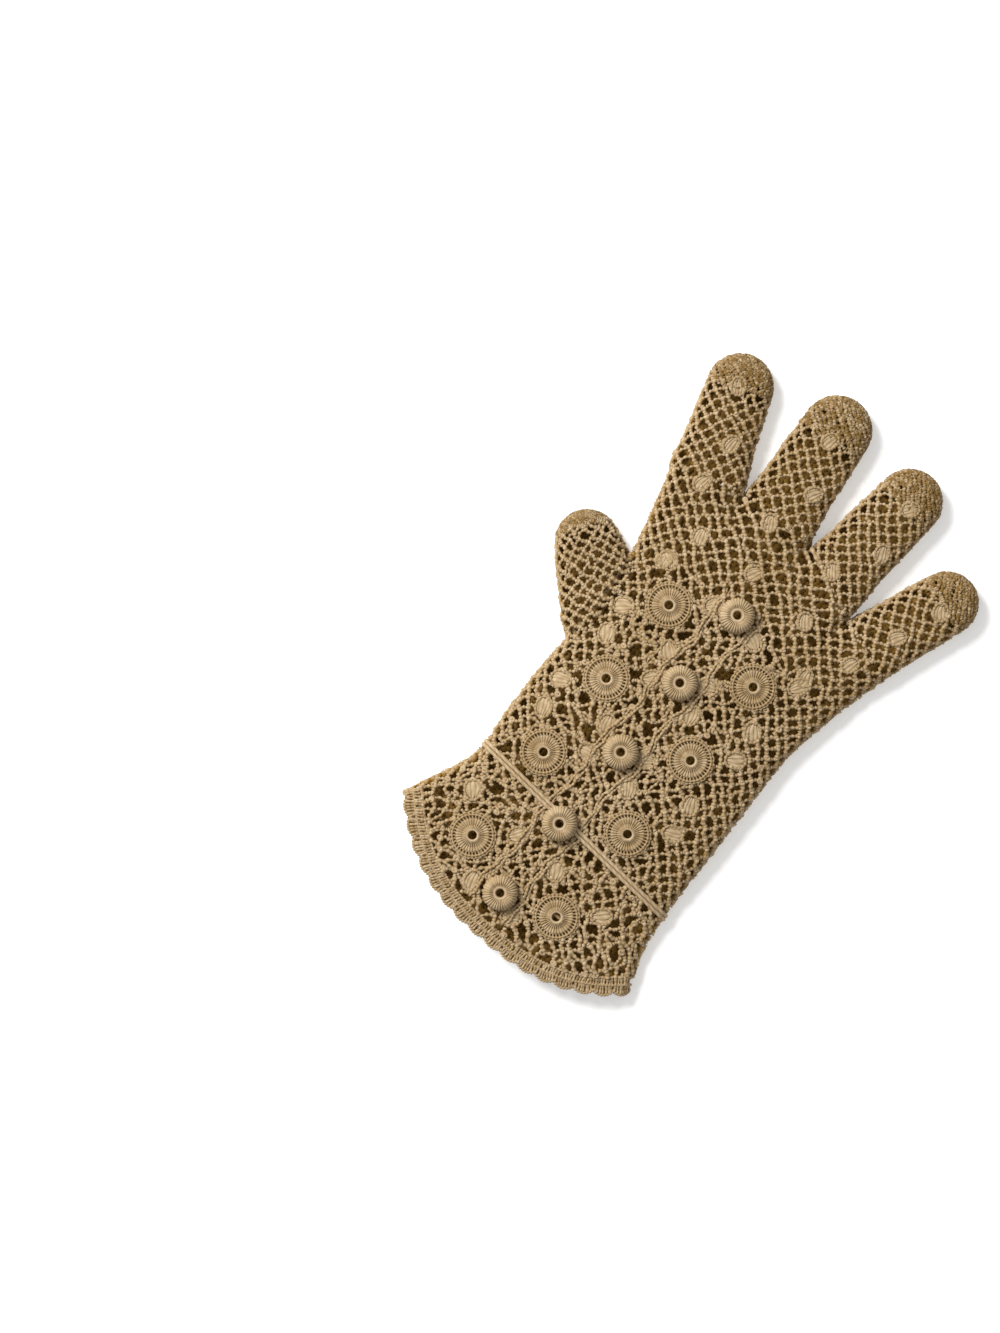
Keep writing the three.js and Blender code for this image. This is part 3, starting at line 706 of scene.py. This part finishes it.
def shell(work, x, y, facing, size, lift, height=back_height):
    """A shell: a rounded cluster of stitches side by side, close together at the foot and spread towards
    the rim by a sine. Each ring is one stitch's loop from the foot over the top to the rim and back
    underneath, and the outer stitches are shorter. Stitches raise it by the root of an absolute sine."""
    stitches = 5
    salt = 3 * x + y
    place, axes = seat(x, y, lift, height)
    turn = math.radians(facing)
    spin = np.array([[math.cos(turn), math.sin(turn), 0], [-math.sin(turn), math.cos(turn), 0], [0, 0, 1]])
    over = np.linspace(-1, 1, 8 * stitches + 1)
    ridge = np.abs(np.sin((over + 1) * np.pi / 2 * stitches + 0.5 * np.sin(4 * over + salt))) ** 0.6
    share = np.array([0.0, 0.04, 0.16, 0.3, 0.44, 0.58, 0.72, 0.86, 0.96, 1.0, 0.9, 0.4])
    level = np.array([0.0, 0.4, 0.7, 0.62, 0.82, 0.66, 0.84, 0.64, 0.5, 0.15, -0.1, -0.2])
    spread = 0.32 + 0.68 * np.sin(np.pi * (0.08 + 0.6 * share))
    length = size * 2.1 * np.sqrt(1 - 0.6 * over ** 2) * (0.9 + 0.14 * ridge + 0.05 * np.sin(5 * over + salt))
    crowned = level * (1 - 0.45 * over[:, None] ** 4)
    upper = level > 0.3
    points = np.stack(
        [
            1.12 * size * over[:, None] * spread + 0.12 * size * np.sin(3 * share),
            length[:, None] * (share - 0.5),
            crowned + 0.3 * upper * (ridge[:, None] - 0.5),
        ],
        axis=-1,
    )
    mottle = 0.22 * np.sin(9 * share + salt + 3 * np.sin(2.5 * over[:, None] + salt))
    # Painted shade in the valleys between stitches, with a tone that wavers across the shell
    groove = (0.62 - 0.45 * ridge[:, None] + mottle) * upper
    # Painted shade of the glove's hollow on the shell's low parts
    work.rings(placed(points @ spin, place, axes)[None], 1 - smooth_step(-0.1, 0.5, level), groove)
    ring_thread(work, (place, spin @ axes), 1.02 * size, -0.14 * size, 2, 0.55, 0.55, 14)


# Finishes


class Number:
    """A number that changes over a surface. Its operators add Math nodes."""

    def __init__(self, finish, socket):
        self.finish = finish
        self.socket = socket

    def maths(self, operation, first, second):
        node = self.finish.node("ShaderNodeMath", {"operation": operation}, {0: first, 1: second})
        return Number(self.finish, node.outputs[0])

    def __add__(self, other):
        return self.maths("ADD", self, other)

    def __sub__(self, other):
        return self.maths("SUBTRACT", self, other)

    def __rsub__(self, other):
        return self.maths("SUBTRACT", other, self)

    def __mul__(self, other):
        return self.maths("MULTIPLY", self, other)

    __radd__ = __add__
    __rmul__ = __mul__


class Finish:
    """A material in the making."""

    def __init__(self, name):
        self.material = bpy.data.materials.new(name)
        self.material.use_nodes = True
        self.tree = self.material.node_tree
        self.surface = self.tree.nodes["Principled BSDF"]

    def put(self, socket, value):
        """Links a socket or a number, or sets the socket's own value."""
        if isinstance(value, Number):
            value = value.socket
        if isinstance(value, bpy.types.NodeSocket):
            self.tree.links.new(value, socket)
        else:
            socket.default_value = value

    def node(self, kind, settings, values):
        """A node of a kind, with its settings made first and then its sockets."""
        made = self.tree.nodes.new(kind)
        for key, value in settings.items():
            if key == "stops":
                ramp = made.color_ramp.elements
                for element, (position, grey) in zip(ramp, value):
                    element.position = position
                    element.color = (grey, grey, grey, 1)
            else:
                setattr(made, key, value)
        for key, value in values.items():
            self.put(made.inputs[key], value)
        return made

    def number(self, kind, settings, values, output=0):
        """A node's output as a number."""
        return Number(self, self.node(kind, settings, values).outputs[output])

    def noise(self, scale, detail=2.0):
        """Noise on Object coordinates, scale being in waves to a metre."""
        place = self.node("ShaderNodeTexCoord", {}, {}).outputs["Object"]
        return self.number("ShaderNodeTexNoise", {}, {"Vector": place, "Scale": scale, "Detail": detail})

    def attribute(self, name):
        """A number that the mesh carries for each point."""
        return self.number("ShaderNodeAttribute", {"attribute_name": name}, {}, "Fac")

    def mixed(self, share, first, second):
        """A colour between two, which may be links."""
        first_colour, second_colour, result = 6, 7, 2
        values = {"Factor": share, first_colour: first, second_colour: second}
        return self.node("ShaderNodeMix", {"data_type": "RGBA"}, values).outputs[result]


def thread_finish(name, light, dark, deep, hollow, rough=0.85, groove_depth=0.75, sheen=0.08):
    """Cotton thread gone tan with age: lighter and darker in patches and from stitch to stitch, with
    painted shade between the plies and stitches and where it faces the glove's hollow, and fine
    fibres as bump."""
    finish = Finish(name)
    patches = finish.noise(PATCHES)
    mottle = finish.noise(MOTTLE, 3.0)
    tone = patches * 0.7 + mottle * 0.9 - 0.3
    colour = finish.mixed(tone, (*dark, 1), (*light, 1))
    # Painted shade between plies, stitches and beads by the groove number, which also brings a darker tone by
    # chance
    colour = finish.mixed(finish.attribute("groove") * groove_depth, colour, (*deep, 1))
    # Painted shade where the thread faces the glove's hollow
    shade = finish.number(
        "ShaderNodeValToRGB", {"stops": [(0.08, 0.0), (0.66, 1.0)]}, {0: finish.attribute("inside")}
    )
    colour = finish.mixed(shade, colour, (*hollow, 1))
    finish.put(finish.surface.inputs["Base Color"], colour)
    finish.put(finish.surface.inputs["Roughness"], mottle * 0.2 + (rough - 0.1))
    fibres = finish.noise(FIBRES)
    bump = finish.node("ShaderNodeBump", {}, {"Strength": 0.5, "Distance": 0.00012, "Height": fibres})
    finish.put(finish.surface.inputs["Normal"], bump.outputs[0])
    finish.put(finish.surface.inputs["Specular IOR Level"], 0.15)
    finish.put(finish.surface.inputs["Sheen Weight"], sheen)
    finish.put(finish.surface.inputs["Sheen Roughness"], 0.5)
    return finish.material


# Worn patches, mottle and fibres of the thread as waves to a metre, and its colours: lit and worn thread,
# the painted shade between stitches, and the painted shade of the glove's hollow
PATCHES = 55.0
MOTTLE = 700.0
FIBRES = 5200.0
LIT_THREAD = (0.585, 0.455, 0.295)
MOTIF_THREAD = (0.56, 0.435, 0.28)
WORN_THREAD = (0.335, 0.232, 0.115)
STITCH_SHADE = (0.17, 0.095, 0.022)
PAINTED_HOLLOW_SHADE = (0.235, 0.125, 0.022)
lace_finish = thread_finish("lace_thread", LIT_THREAD, WORN_THREAD, STITCH_SHADE, PAINTED_HOLLOW_SHADE)
motif_finish = thread_finish("motif_thread", MOTIF_THREAD, WORN_THREAD, STITCH_SHADE, PAINTED_HOLLOW_SHADE)
cord_finish = thread_finish("cord_thread", LIT_THREAD, WORN_THREAD, STITCH_SHADE, PAINTED_HOLLOW_SHADE, rough=0.7)

# Fingers and thumb


def finger_nets(name, finger, room, root_depth, loose):
    """A finger's nets: open on the back, close under it, and dense work over the tip, which three
    rings close at its end. Room is the signed distance from where the net stops on the hand, and
    loose is how far the knots are moved by chance."""
    skin = finger_skin(finger, root_depth)
    _, _, length, width, _, cells, tip_reach = finger
    tip_start = length - tip_reach
    last = length - TIP_LENGTH * width * (1 - TIP_END)

    def room_at(places):
        return np.minimum(room(*skin.spots(places)), tip_start + 1.5 - places[..., 1])

    def room_on_back(places):
        return np.minimum(room_at(places), clear_of(*skin.spots(places), FINGER_SHELLS, FINGER_SHELL_ROOM))

    back, palm = layers(skin, cells, -root_depth, tip_start + 8, room_on_back, room_at, loose)
    work = Work()
    chains(work, skin, back, FINGER_CHAIN_RADIUS, 7, 6, 3, bow=loose, knot=0.18)
    chains(work, skin, palm, PALM_CHAIN_RADIUS, 2, 5, 0, knot=0.1, sink=PALM_SINK)
    tip = loosened(skin, lattice(skin, round(TIP_CLOSENESS * cells), tip_start, last), 0.6, 0.3)
    chains(work, skin, tip, TIP_CHAIN_RADIUS, 5, 6, 2, bow=0.4, knot=0.3, shade=0.75)
    steps = 18
    turn = np.linspace(0, 1, steps, endpoint=False)
    end, _ = skin.at(turn, np.full_like(turn, last), -0.5)
    centre = end.mean(axis=0)
    forward = np.broadcast_to([*leaning(finger[1])[0], 0.0], end.shape)
    for share in (0.95, 0.6, 0.2):
        ring = centre + share * (end - centre) + 0.3 * (1 - share) * forward
        radius = np.full((1, steps), TIP_CHAIN_RADIUS)
        tubes(work, ring[None], forward[None], radius, 6, closed=True, notch=0.3)
    work.piece(name + "_lace", lace_finish, "lace", name)


def beyond_knuckles(x, y):
    """Distance past the knuckles, with a little lap over the hand's net."""
    return past_knuckles(x, y) + 0.4


def beyond_thumb_seam(x, y):
    """Distance past the thumb's seam, with its lap over the hand's net."""
    return past_thumb_seam(x, y) + THUMB_LAP + 0.4


for finger_name, finger in FINGERS.items():
    finger_nets(finger_name, finger, beyond_knuckles, FINGER_ROOT_DEPTH, 0.5)
finger_nets("thumb", THUMB, beyond_thumb_seam, THUMB_ROOT_DEPTH, 0.8)

# Hand and cuff

body = Skin(*BODY_REACH, body_rows, back_height)


def off_motifs(x, y):
    """Distance to the nearest rosette, button or shell."""
    room = np.minimum(clear_of(x, y, ROSETTES, ROSETTE_ROOM), clear_of(x, y, BUTTONS, BUTTON_ROOM))
    room = np.minimum(room, clear_of(x, y, FINGER_SHELLS, FINGER_SHELL_ROOM))
    return np.minimum(room, clear_of(x, y, BACK_SHELLS, SHELL_ROOM))


def room_on_palm(places):
    """Distance inside the hand, which ends at the wrist's line and at the knuckles."""
    x, y = body.spots(places)
    return np.minimum(y - WRIST_TILT * x - 0.2, -past_knuckles(x, y))


def room_on_hand(places):
    """Distance inside the hand and off the motifs and the thumb."""
    x, y = body.spots(places)
    return np.minimum(np.minimum(room_on_palm(places), off_motifs(x, y)), off_thumb(x, y))


def hem_round():
    """The hem as a line round the body: for shares round it, where along the body the hem's curve
    is met, found by going there a few times."""
    turn = np.linspace(0, 1, 1201)
    along = np.full_like(turn, -40.0)
    for _ in range(12):
        x, y = body.spots(np.stack([turn, along], axis=-1))
        along = along + 0.7 * (hem_at(x) - y)
    return turn, along


HEM_TURN, HEM_ALONG = hem_round()
hem_slope = np.gradient(HEM_ALONG, HEM_TURN) / body.around(HEM_ALONG)


def above_hem(places):
    """Distance square to the hem."""
    turn = places[..., 0] % 1.0
    slope = np.interp(turn, HEM_TURN, hem_slope)
    return (places[..., 1] - np.interp(turn, HEM_TURN, HEM_ALONG)) / np.sqrt(1 + slope ** 2)


def room_under_cuff(places):
    """Distance inside the cuff, which ends at the wrist's line and at the edging."""
    x, y = body.spots(places)
    return np.minimum(WRIST_TILT * x - y - 0.2, above_hem(places) - EDGING_WIDTH + 0.6)


def room_on_cuff(places):
    """Distance inside the cuff and off the motifs."""
    return np.minimum(room_under_cuff(places), off_motifs(*body.spots(places)))


def in_filling(x, y):
    """How far a spot of the back belongs to the close filling between the motifs, from 0 to 1."""
    aside = smooth_step(*FILLING_SIDES, np.abs(x - MOTIF_AXIS)) * smooth_step(*FILLING_WRIST, y)
    return (1 - aside) * (1 - smooth_step(*FILLING_KNUCKLES, y)) * smooth_step(*FILLING_HEM, y)


def body_layers(name, cells, first, last, room_back, room_palm):
    """Hand or cuff: the open net of the back, looser where it is filling and with a few ties left out
    there, the close net below, and the filling itself: extra ties straight across or along some of the
    cells, and picots."""
    open_net = lattice(body, cells, first, last)
    x, y = body.spots(open_net)
    filling = in_filling(x, y)
    back, palm = layers(body, cells, first, last, room_back, room_palm, 0.55 + 0.75 * filling)
    left_out = 0.1 * in_filling(*body.spots(back.mean(axis=1)))
    back = back[0.5 + 0.5 * scatter(back.mean(axis=1), 14.0) > left_out]
    back_work = Work()
    chains(back_work, body, back, CHAIN_RADIUS, 7, 6, 3, bow=0.85, knot=0.22)
    back_work.piece(name + "_back_net", lace_finish, "lace", name)
    palm_work = Work()
    chains(palm_work, body, palm, PALM_CHAIN_RADIUS, 2, 5, 0, knot=0.1, sink=PALM_SINK)
    palm_work.piece(name + "_palm_net", lace_finish, "lace", name)

    spacing = np.ptp(open_net[0, :, 1])
    cell = np.array([1 / cells, 0.0])
    knots = open_net[on_back(open_net, 0.02)][:, 0]
    knots = np.unique(np.round(knots, 9), axis=0)
    x, y = body.spots(knots)
    chance = 0.5 + 0.5 * scatter(knots, 8.0)
    lie_across = knots[chance < EXTRA_TIES * in_filling(x, y)]
    lie_along = knots[chance > 1 - EXTRA_TIES * in_filling(x, y)]
    extra = np.concatenate([
        np.stack([lie_across, lie_across + cell], axis=1),
        np.stack([lie_along, lie_along + np.array([0.0, 2 * spacing])], axis=1),
    ])
    extra = trimmed(loosened(body, extra, 0.9, 0.3), room_back)
    filling_work = Work()
    chains(filling_work, body, extra, 0.9 * CHAIN_RADIUS, 9, 6, 4, bow=0.9)
    picots(filling_work, knots, room_back)
    filling_work.piece(name + "_filling", lace_finish, "lace", name)


def picots(work, knots, room):
    """Little closed loops of thread on knots of the filling: ellipses turned and tipped by chance."""
    knots = loosened(body, knots, 0.9, 0.3)
    x, y = body.spots(knots)
    chosen = (0.5 + 0.5 * scatter(knots, 9.0) < 0.06 + 0.26 * in_filling(x, y)) & (room(knots) > 0.9)
    knots = knots[chosen]
    centre, outward = body.at(knots[:, 0], knots[:, 1], -0.35)
    turn = np.linspace(0, 2 * np.pi, 10, endpoint=False)
    spin = np.pi * scatter(knots, 10.0)[:, None]
    side = unit(np.cross(outward, [0.0, 1.0, 0.0]))
    other = np.cross(outward, side)
    tip = 0.5 * scatter(knots, 11.0)[:, None]
    wide = (0.95 * np.cos(turn + spin))[..., None]
    high = (0.7 * np.sin(turn + spin))[..., None]
    lift = (tip * np.sin(turn))[..., None]
    points = centre[:, None] + wide * side[:, None] + high * other[:, None] + lift * outward[:, None]
    upward = np.broadcast_to(outward[:, None], points.shape)
    tubes(work, points, upward, np.full(points.shape[:2], 0.5), 5, closed=True)


body_layers("hand", HAND_CELLS, *HAND_REACH, room_on_hand, room_on_palm)
body_layers("cuff", CUFF_CELLS, *CUFF_REACH, room_on_cuff, room_under_cuff)

# Double chains beside the buttons


def winding_chains():
    """Pairs of threads along the hand: they swing out round every button by a cosine of the distance
    along, stray a little by slow sines, lie on the net, and sink into it at their upper end."""
    work = Work()
    along = np.arange(*WINDING_RUN, WINDING_STITCH / 3)
    beat = np.interp(along, BUTTON_ROWS[::-1], np.arange(len(BUTTON_ROWS)))
    bead = np.cos(2 * np.pi * along / WINDING_STITCH)[None]
    phase = (np.pi * along / WINDING_STITCH)[None]
    radius = WINDING_RADIUS * (1 + 0.24 * bead)
    for side in (-1, 1):
        swing = WINDING_ASIDE + WINDING_SWING * np.cos(2 * np.pi * beat)
        swing = swing + 0.35 * np.sin(0.62 * along + 2 * side)
        for strand in (-WINDING_HALF_PAIR, WINDING_HALF_PAIR):
            drift = 0.25 * np.sin(0.41 * along + 4 * strand) + 0.15 * np.sin(1.3 * along + 7 * strand)
            x = MOTIF_AXIS + side * (swing + strand + drift)
            y = along + WRIST_TILT * MOTIF_AXIS
            z = back_height(x, y) - 0.2 + 0.35 * np.sin(0.37 * along + 3 * strand + side)
            z = z - 1.1 * smooth_step(97, 103, along)
            centre = np.stack([x, y, z], axis=-1)[None]
            up = np.broadcast_to([0.0, 0.0, 1.0], centre.shape)
            # Painted shade at the thin parts between beads
            tubes(work, centre, up, radius, 6, twist=0.15, phase=phase, notch=0.4 - 0.4 * bead)
    work.piece("winding_chains", lace_finish, "lace")


winding_chains()

# Cords round the wrist


def wrist_cord():
    """Two smooth cords side by side, all round the wrist along a line tilted across the hand."""
    work = Work()
    turn = np.linspace(0, 1, 420, endpoint=False)
    x, _ = body.spots(np.stack([turn, np.zeros_like(turn)], axis=-1))
    for offset in (-CORD_RADIUS, CORD_RADIUS):
        along = offset + WRIST_TILT * x
        centre, outward = body.at(turn, along, CORD_PROUD - CORD_RADIUS + SEAM)
        centre[:, 2] = np.maximum(centre[:, 2], CORD_RADIUS)
        radius = CORD_RADIUS * (1 + 0.03 * np.sin(2 * np.pi * 140 * turn))
        phase = 2 * np.pi * 60 * turn
        tubes(work, centre[None], outward[None], radius[None], 10, closed=True, twist=0.03, phase=phase[None])
    work.piece("wrist_cords", cord_finish, "cord", "wrist_cord")


wrist_cord()

# Scalloped edging


def edging():
    """Two rows of stitches square to the hem: an even band, and beyond it scallops whose stitches
    spread like fans. Chains run along the band's inner side, between the rows and round the scallops."""
    work = Work()
    points, _ = body.at(HEM_TURN, HEM_ALONG)
    run = np.concatenate([[0], np.cumsum(np.linalg.norm(np.diff(points, axis=0), axis=1))])
    scallops = round(run[-1] / SCALLOP_PITCH)
    pitch = run[-1] / scallops

    def place_at(distance, inwards):
        turn = np.interp(distance % run[-1], run, HEM_TURN)
        slope = np.interp(turn, HEM_TURN, hem_slope)
        along = np.interp(turn, HEM_TURN, HEM_ALONG)
        square = np.sqrt(1 + slope ** 2)
        return np.stack([turn - inwards * slope / square / body.around(along), along + inwards / square], -1)

    def stitches(start, end, radius):
        share = np.linspace(0, 1, 7)
        places = start[:, None] + (end - start)[:, None] * share[:, None]
        lift = -0.7 + 0.2 * scatter(start, 17.0)[:, None] * np.ones(7)
        centre, outward = body.at(places[..., 0], places[..., 1], lift)
        size = radius * (1 - 0.16 * np.cos(4 * np.pi * share)) * np.ones((len(start), 1))
        # A darker tone by chance for each stitch, and painted shade at its thin waists
        shade = np.clip(0.45 + 0.5 * scatter(start, 13.0), 0, 1)[:, None] + 0.35 * np.cos(4 * np.pi * share)
        tubes(work, centre, outward, size, 6, twist=0.1, phase=5 * share + 0 * shade, notch=shade)

    def chain(inwards, radius, beads, lift=-0.6):
        distance = np.linspace(0, run[-1], 4 * beads, endpoint=False)
        depth = inwards(distance) if callable(inwards) else np.full_like(distance, inwards)
        places = place_at(distance, depth)
        centre, outward = body.at(places[:, 0], places[:, 1], lift)
        wave = 2 * np.pi * np.arange(4 * beads) / 4
        size = radius * (1 + 0.25 * np.cos(wave))
        # Painted shade between the beads, where the chain is thinnest
        notch = 0.35 - 0.35 * np.cos(wave)
        tubes(
            work, centre[None], outward[None], size[None], 6,
            closed=True, twist=0.12, phase=wave[None], notch=notch[None],
        )

    def scalloped(distance):
        return 1.0 - 1.6 * np.abs(np.sin(np.pi * distance / pitch)) ** 0.7

    count = STITCHES_A_SCALLOP
    band = np.arange(count * scallops) * pitch / count
    uneven = random.normal(0, 0.24, (3, len(band)))
    top = place_at(band + uneven[0], BAND_TOP + uneven[1])
    stitches(top, place_at(band + 0.3 + uneven[2], BAND_FOOT), EDGING_STITCH_RADIUS)
    step = np.tile(np.arange(count) - count // 2, scallops)
    middle = np.repeat((np.arange(scallops) + 0.5) * pitch, count)
    bulge = np.sqrt(1 - (step / 4.0) ** 2)
    foot = place_at(middle + step * 0.98 + uneven[1], SCALLOP_FOOT + uneven[0])
    stitches(foot, place_at(middle + step * 1.13 + uneven[0], 1.5 - 1.9 * bulge), EDGING_STITCH_RADIUS)
    chain(TOP_CHAIN, EDGING_CHAIN_RADIUS, round(run[-1] / EDGING_BEAD))
    chain(MIDDLE_CHAIN, 0.45, round(run[-1] / EDGING_BEAD), -0.45)
    chain(scalloped, EDGING_CHAIN_RADIUS, scallops * count)
    work.piece("hem_edging", motif_finish, "edging", "cuff_edging")


edging()

# Motifs

for number, (x, y) in enumerate(ROSETTES):
    rosette_work = Work()
    rosette(rosette_work, x, y, 1.7 * number)
    rosette_work.piece(f"rosette_{number + 1}_stitches", motif_finish, "rosette", f"rosette_{number + 1}")
for number, (x, y) in enumerate(BUTTONS):
    button_work = Work()
    reaches_cords = abs(y - WRIST_TILT * x) < 2 * CORD_RADIUS + BUTTON_RADIUS
    lift = SEAM + CORD_PROUD if reaches_cords else SEAM
    button(button_work, x, y, lift, 2.3 * number)
    stuffed = button_work.piece(f"button_{number + 1}_wraps", motif_finish, "button", f"button_{number + 1}")


def fingers_height(x, y):
    """Height of the back, on the hand or on the fingers."""
    fingers = np.max([finger_top(finger, x, y)[0] for finger in FINGERS.values()], axis=0)
    return np.where(past_knuckles(x, y) > -1, fingers, back_height(x, y))


shells = Work()
for x, y in BACK_SHELLS:
    nearest = min(ROSETTES, key=lambda spot: math.dist(spot, (x, y)))
    outwards = math.degrees(math.atan2(y - nearest[1], x - nearest[0])) - 90
    shell(shells, x, y, outwards + 25 * math.sin(3 * x + y), SHELL_RADIUS, -SHELL_SINK)
for x, y in FINGER_SHELLS:
    facing = 180 + 40 * math.sin(x + 2 * y)
    shell(shells, x, y, facing, FINGER_SHELL_RADIUS, -SHELL_SINK, fingers_height)
shells.piece("fan_shells", motif_finish, "lace")

# Camera, light and floor

# The photograph: millimetres to a pixel, its size, the turn of the glove in it, and the pixel of the
# wrist's middle
PHOTO_SCALE = 0.37
PHOTO_SIZE = (1000, 1333)
PHOTO_TURN = math.radians(40.5)
WRIST_PIXEL = (575, 830)

# The camera's height over the floor and its sensor's width
CAMERA_HEIGHT = 1600
SENSOR = 36

# The window: the parts of its direction that point to the photograph's upper left and upwards, its
# distance and side in metres and its power in watts. Then the studio's light, and the floor's reach in
# metres and its glow
WINDOW_SLANT = 1.9
WINDOW_RISE = 1.6
WINDOW_DISTANCE = 2.6
WINDOW_SIZE = 1.05
WINDOW_POWER = 100
STUDIO_LIGHT = 0.5
FLOOR_REACH = 4.0
FLOOR_GLOW = 0.3


def photo_spot(column, row):
    """The spot of the plan that a pixel of the photograph shows, in the glove's own frame."""
    across, down = column - WRIST_PIXEL[0], row - WRIST_PIXEL[1]
    right = np.array([math.cos(PHOTO_TURN), math.sin(PHOTO_TURN)])
    up = np.array([-math.sin(PHOTO_TURN), math.cos(PHOTO_TURN)])
    return PHOTO_SCALE * (across * right - down * up)


def add_camera():
    """Looks straight down on the middle of the photograph, turned with it."""
    data = bpy.data.cameras.new("camera")
    data.sensor_width = SENSOR
    data.lens = SENSOR * CAMERA_HEIGHT / (PHOTO_SCALE * max(PHOTO_SIZE))
    camera = bpy.data.objects.new("camera", data)
    middle = photo_spot(PHOTO_SIZE[0] / 2, PHOTO_SIZE[1] / 2)
    camera.location = np.array([*middle, CAMERA_HEIGHT]) * MM + WRIST_PLACE
    camera.rotation_euler = (0, 0, PHOTO_TURN)
    bpy.context.scene.collection.objects.link(camera)
    bpy.context.scene.camera = camera


def add_light(name, direction, distance, size, power):
    """A square area light that faces the glove from a direction."""
    data = bpy.data.lights.new(name, "AREA")
    data.size = size
    data.energy = power
    lamp = bpy.data.objects.new(name, data)
    towards = unit(np.array(direction, float))
    lamp.location = towards * distance
    lamp.rotation_euler = (math.acos(towards[2]), 0, math.atan2(towards[1], towards[0]) + math.pi / 2)
    bpy.context.scene.collection.objects.link(lamp)


def add_floor():
    """A wide pale floor under the glove."""
    corners = [(FLOOR_REACH * x, FLOOR_REACH * y, 0) for x, y in ((-1, -1), (1, -1), (1, 1), (-1, 1))]
    mesh = bpy.data.meshes.new("floor")
    mesh.from_pydata(corners, [], [(0, 1, 2, 3)])
    floor = bpy.data.objects.new("floor", mesh)
    bpy.context.scene.collection.objects.link(floor)
    finish = Finish("floor_paper")
    finish.put(finish.surface.inputs["Base Color"], (0.86, 0.86, 0.85, 1))
    finish.put(finish.surface.inputs["Roughness"], 0.9)
    finish.put(finish.surface.inputs["Emission Color"], (1, 1, 1, 1))
    finish.put(finish.surface.inputs["Emission Strength"], FLOOR_GLOW)
    floor.data.materials.append(finish.material)


add_camera()
up_left = photo_spot(WRIST_PIXEL[0] - 1, WRIST_PIXEL[1] - 1)
slant = up_left * WINDOW_SLANT / np.linalg.norm(up_left)
add_light("window", (*slant, WINDOW_RISE), WINDOW_DISTANCE, WINDOW_SIZE, WINDOW_POWER)
add_floor()
world = bpy.data.worlds.new("studio")
world.use_nodes = True
world.node_tree.nodes["Background"].inputs["Color"].default_value = (1, 1, 1, 1)
world.node_tree.nodes["Background"].inputs["Strength"].default_value = STUDIO_LIGHT
bpy.context.scene.world = world
bpy.context.scene.view_settings.view_transform = "Standard"
